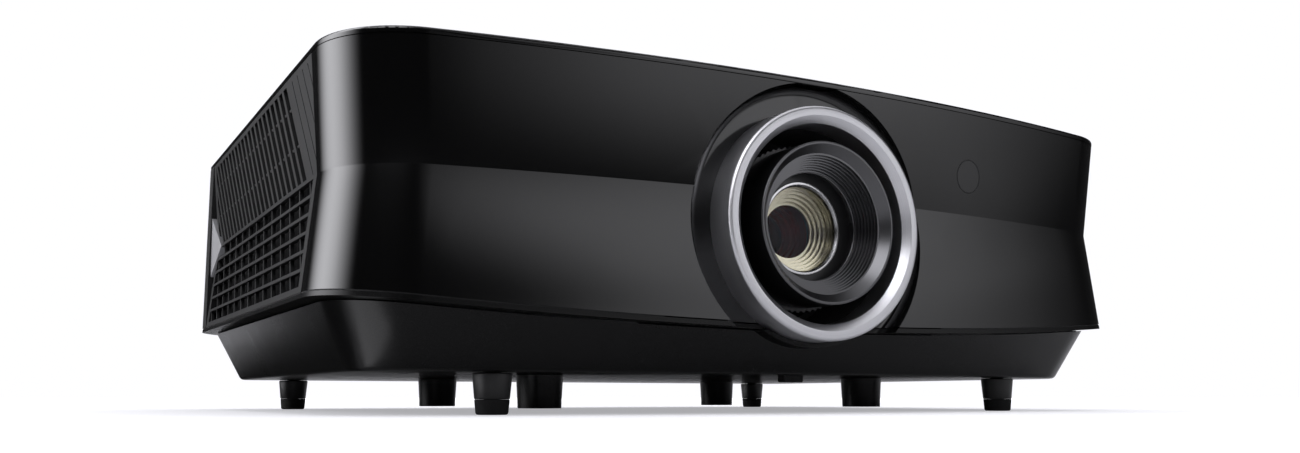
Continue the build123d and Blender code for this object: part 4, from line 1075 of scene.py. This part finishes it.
# %% Cards
def card_finish(cards):
    """Cards by bearing and height in degrees: bearing is the arctangent of x over -y, height that of z
    over the level distance. A card's four edges come first, each a place and the softness of its fade,
    then its radiance, the slant of its left edge, and the height where the slant turns. Each card covers
    those before it."""
    material = bpy.data.materials.new("studio cards")
    material.use_nodes = True
    tree = material.node_tree
    tree.nodes.remove(tree.nodes["Principled BSDF"])
    place = Wire(tree.nodes.new("ShaderNodeTexCoord").outputs["Object"])
    x, y, z = (place.axis(letter) for letter in "XYZ")
    degree = 180 / math.pi
    bearing = x.maths("ARCTAN2", x, 0 - y) * degree
    height = z.maths("ARCTAN2", z, (x * x + y * y) ** 0.5) * degree
    ring = place.make("ShaderNodeBsdfTransparent")
    for left, right, bottom, top, radiance, slant, slant_at in cards:
        leaning = bearing + (height - slant_at) * slant
        mask = leaning.above(*left) * (1 - bearing.above(*right))
        mask = mask * height.above(*bottom) * (1 - height.above(*top))
        glow = place.make("ShaderNodeEmission", None, {"Color": grey(1.0), "Strength": radiance})
        ring = place.make("ShaderNodeMixShader", None, {0: mask, 1: ring, 2: glow})
    feed(tree.nodes["Material Output"].inputs["Surface"], ring)
    return material


all_round = ((-200, 1), (200, 1))
all_heights = ((-99, 1), (99, 1))
dark_band = (*all_round, (-12, 4), (48, 16), 0.03, 0, 0)
left_panel = ((-131, 38), (-92, 34), (-6, 6), (62, 12), 6.8, 0, 0)
low_glow = ((36, 16), (58, 16), (-5, 3), (6, 5), 0.5, 0, 0)
high_panel = ((-72, 20), (-30, 20), (27, 6), (68, 10), 4.5, 0, 0)
front_strip = ((5, 34), (54, 36), (5, 8), (12, 3), 1.3, 0, 0)
leaning_panel = ((0.5, 22), (54, 36), (11, 5), (21, 8), 1.75, 3.2, 18)
cards = (dark_band, left_panel, low_glow, high_panel, front_strip, leaning_panel)
print("cards:", len(cards))

# %% [markdown]
# ## The ring of cards
#
# The ring is a part of a ball round the projector, from just below the horizon to high overhead, so
# that a card has the same size in degrees wherever it hangs. Two small cards lie on the floor: a dark
# one beside the left grille, and a bright one beside the front left corner.

# %% Ring of cards
ring_radius = 3.0
ring_middle = 0.09
ring_heights = (-1.5, 76)
ring_columns = 96
ring_rows = 40
card_level = 0.0004
bearing, height = np.meshgrid(
    np.linspace(-np.pi, np.pi, ring_columns, endpoint=False),
    np.radians(np.linspace(*ring_heights, ring_rows)),
    indexing="ij",
)
ring_points = ring_radius * np.stack(
    [np.sin(bearing) * np.cos(height), -np.cos(bearing) * np.cos(height), np.sin(height)], -1
)
column, row = np.meshgrid(np.arange(ring_columns), np.arange(ring_rows - 1), indexing="ij")
here = column * ring_rows + row
after = (column + 1) % ring_columns * ring_rows + row
ring_faces = np.stack([here, after, after + 1, here + 1], -1)
ring_grid = (ring_points.reshape(-1, 3).tolist(), ring_faces.reshape(-1, 4).tolist())
card_ring = stage_mesh("cards", *ring_grid, card_finish(cards))
card_ring.location = (0, 0, ring_middle)


def floor_card(name, left, right, near, far, radiance):
    """Card that lies on the floor between the given places in metres."""
    whole = (*all_round, *all_heights, radiance, 0, 0)
    return level_sheet(name, left, right, near, far, card_level, card_finish([whole]))


side_flag = floor_card("side_flag", -0.60, -0.205, -0.10, 0.50, 0.02)
corner_card = floor_card("corner_card", -0.33, -0.235, -0.165, -0.115, 3.0)
for holder in (card_ring, side_flag, corner_card):
    holder.visible_camera = False
    holder.visible_diffuse = False
    holder.visible_shadow = False
print("faces of the ring:", len(card_ring.data.polygons))

# %% [markdown]
# ## The lamps
#
# Three softboxes light the matt parts: one beside the left corner, one in front and one overhead. They
# are hidden from mirrored rays, because the cards already give the casing its reflections. A lamp's
# power is worked out from its radiance, so that its size can change and its brightness stays.

# %% Lamps
def softbox(name, place, target, width, height, radiance):
    """Rectangular lamp that faces target. Its power is radiance times pi times its area."""
    lamp = bpy.data.lights.new(name, "AREA")
    lamp.shape = "RECTANGLE"
    lamp.size = width
    lamp.size_y = height
    lamp.energy = radiance * math.pi * width * height
    holder = bpy.data.objects.new(name, lamp)
    bpy.context.scene.collection.objects.link(holder)
    aim = np.array(target) - np.array(place)
    turn = math.atan2(aim[0], -aim[1])
    tilt = math.atan2(math.hypot(aim[0], aim[1]), -aim[2])
    holder.location = place
    holder.rotation_euler = (tilt, 0, turn + math.pi)
    holder.visible_glossy = False
    holder.visible_camera = False


middle = (0, 0, 0.08)
left_corner = (-0.22, -0.05, 0.09)
softbox("corner_lamp", (-1.9, 0.5, 0.7), left_corner, width=0.7, height=1.2, radiance=2.2)
softbox("front_lamp", (0.9, -2.2, 1.6), middle, width=2.4, height=1.2, radiance=1.5)
softbox("overhead", (0, 0.2, 2.4), middle, width=2.6, height=2.2, radiance=1.6)
print("lamps:", len(bpy.data.lights))

# %% [markdown]
# ## The white room
#
# The background is white, but a room that bright would wash out the black casing. So the world has two
# strengths: full white for the camera, for mirrors and for what is seen through glass, and a dim one
# for the light that falls on the object.

# %% White room
room_light = 0.4
world = bpy.data.worlds.new("studio")
bpy.context.scene.world = world
world.use_nodes = True
tree = world.node_tree
room = tree.nodes["Background"]
room.inputs["Color"].default_value = grey(1.0)
room.inputs["Strength"].default_value = room_light
rays = tree.nodes.new("ShaderNodeLightPath")
seen = Wire(rays.outputs["Is Camera Ray"])
for kind in ("Is Transmission Ray", "Is Glossy Ray"):
    seen = seen.maths("MAXIMUM", seen, Wire(rays.outputs[kind]))
white = seen.make("ShaderNodeBackground", None, {"Color": grey(1.0), "Strength": 1.0})
mixed = seen.make("ShaderNodeMixShader", None, {0: seen, 1: Wire(room.outputs[0]), 2: white})
feed(tree.nodes["World Output"].inputs["Surface"], mixed)
bpy.context.scene.view_settings.view_transform = "Standard"
print("room light:", room_light)
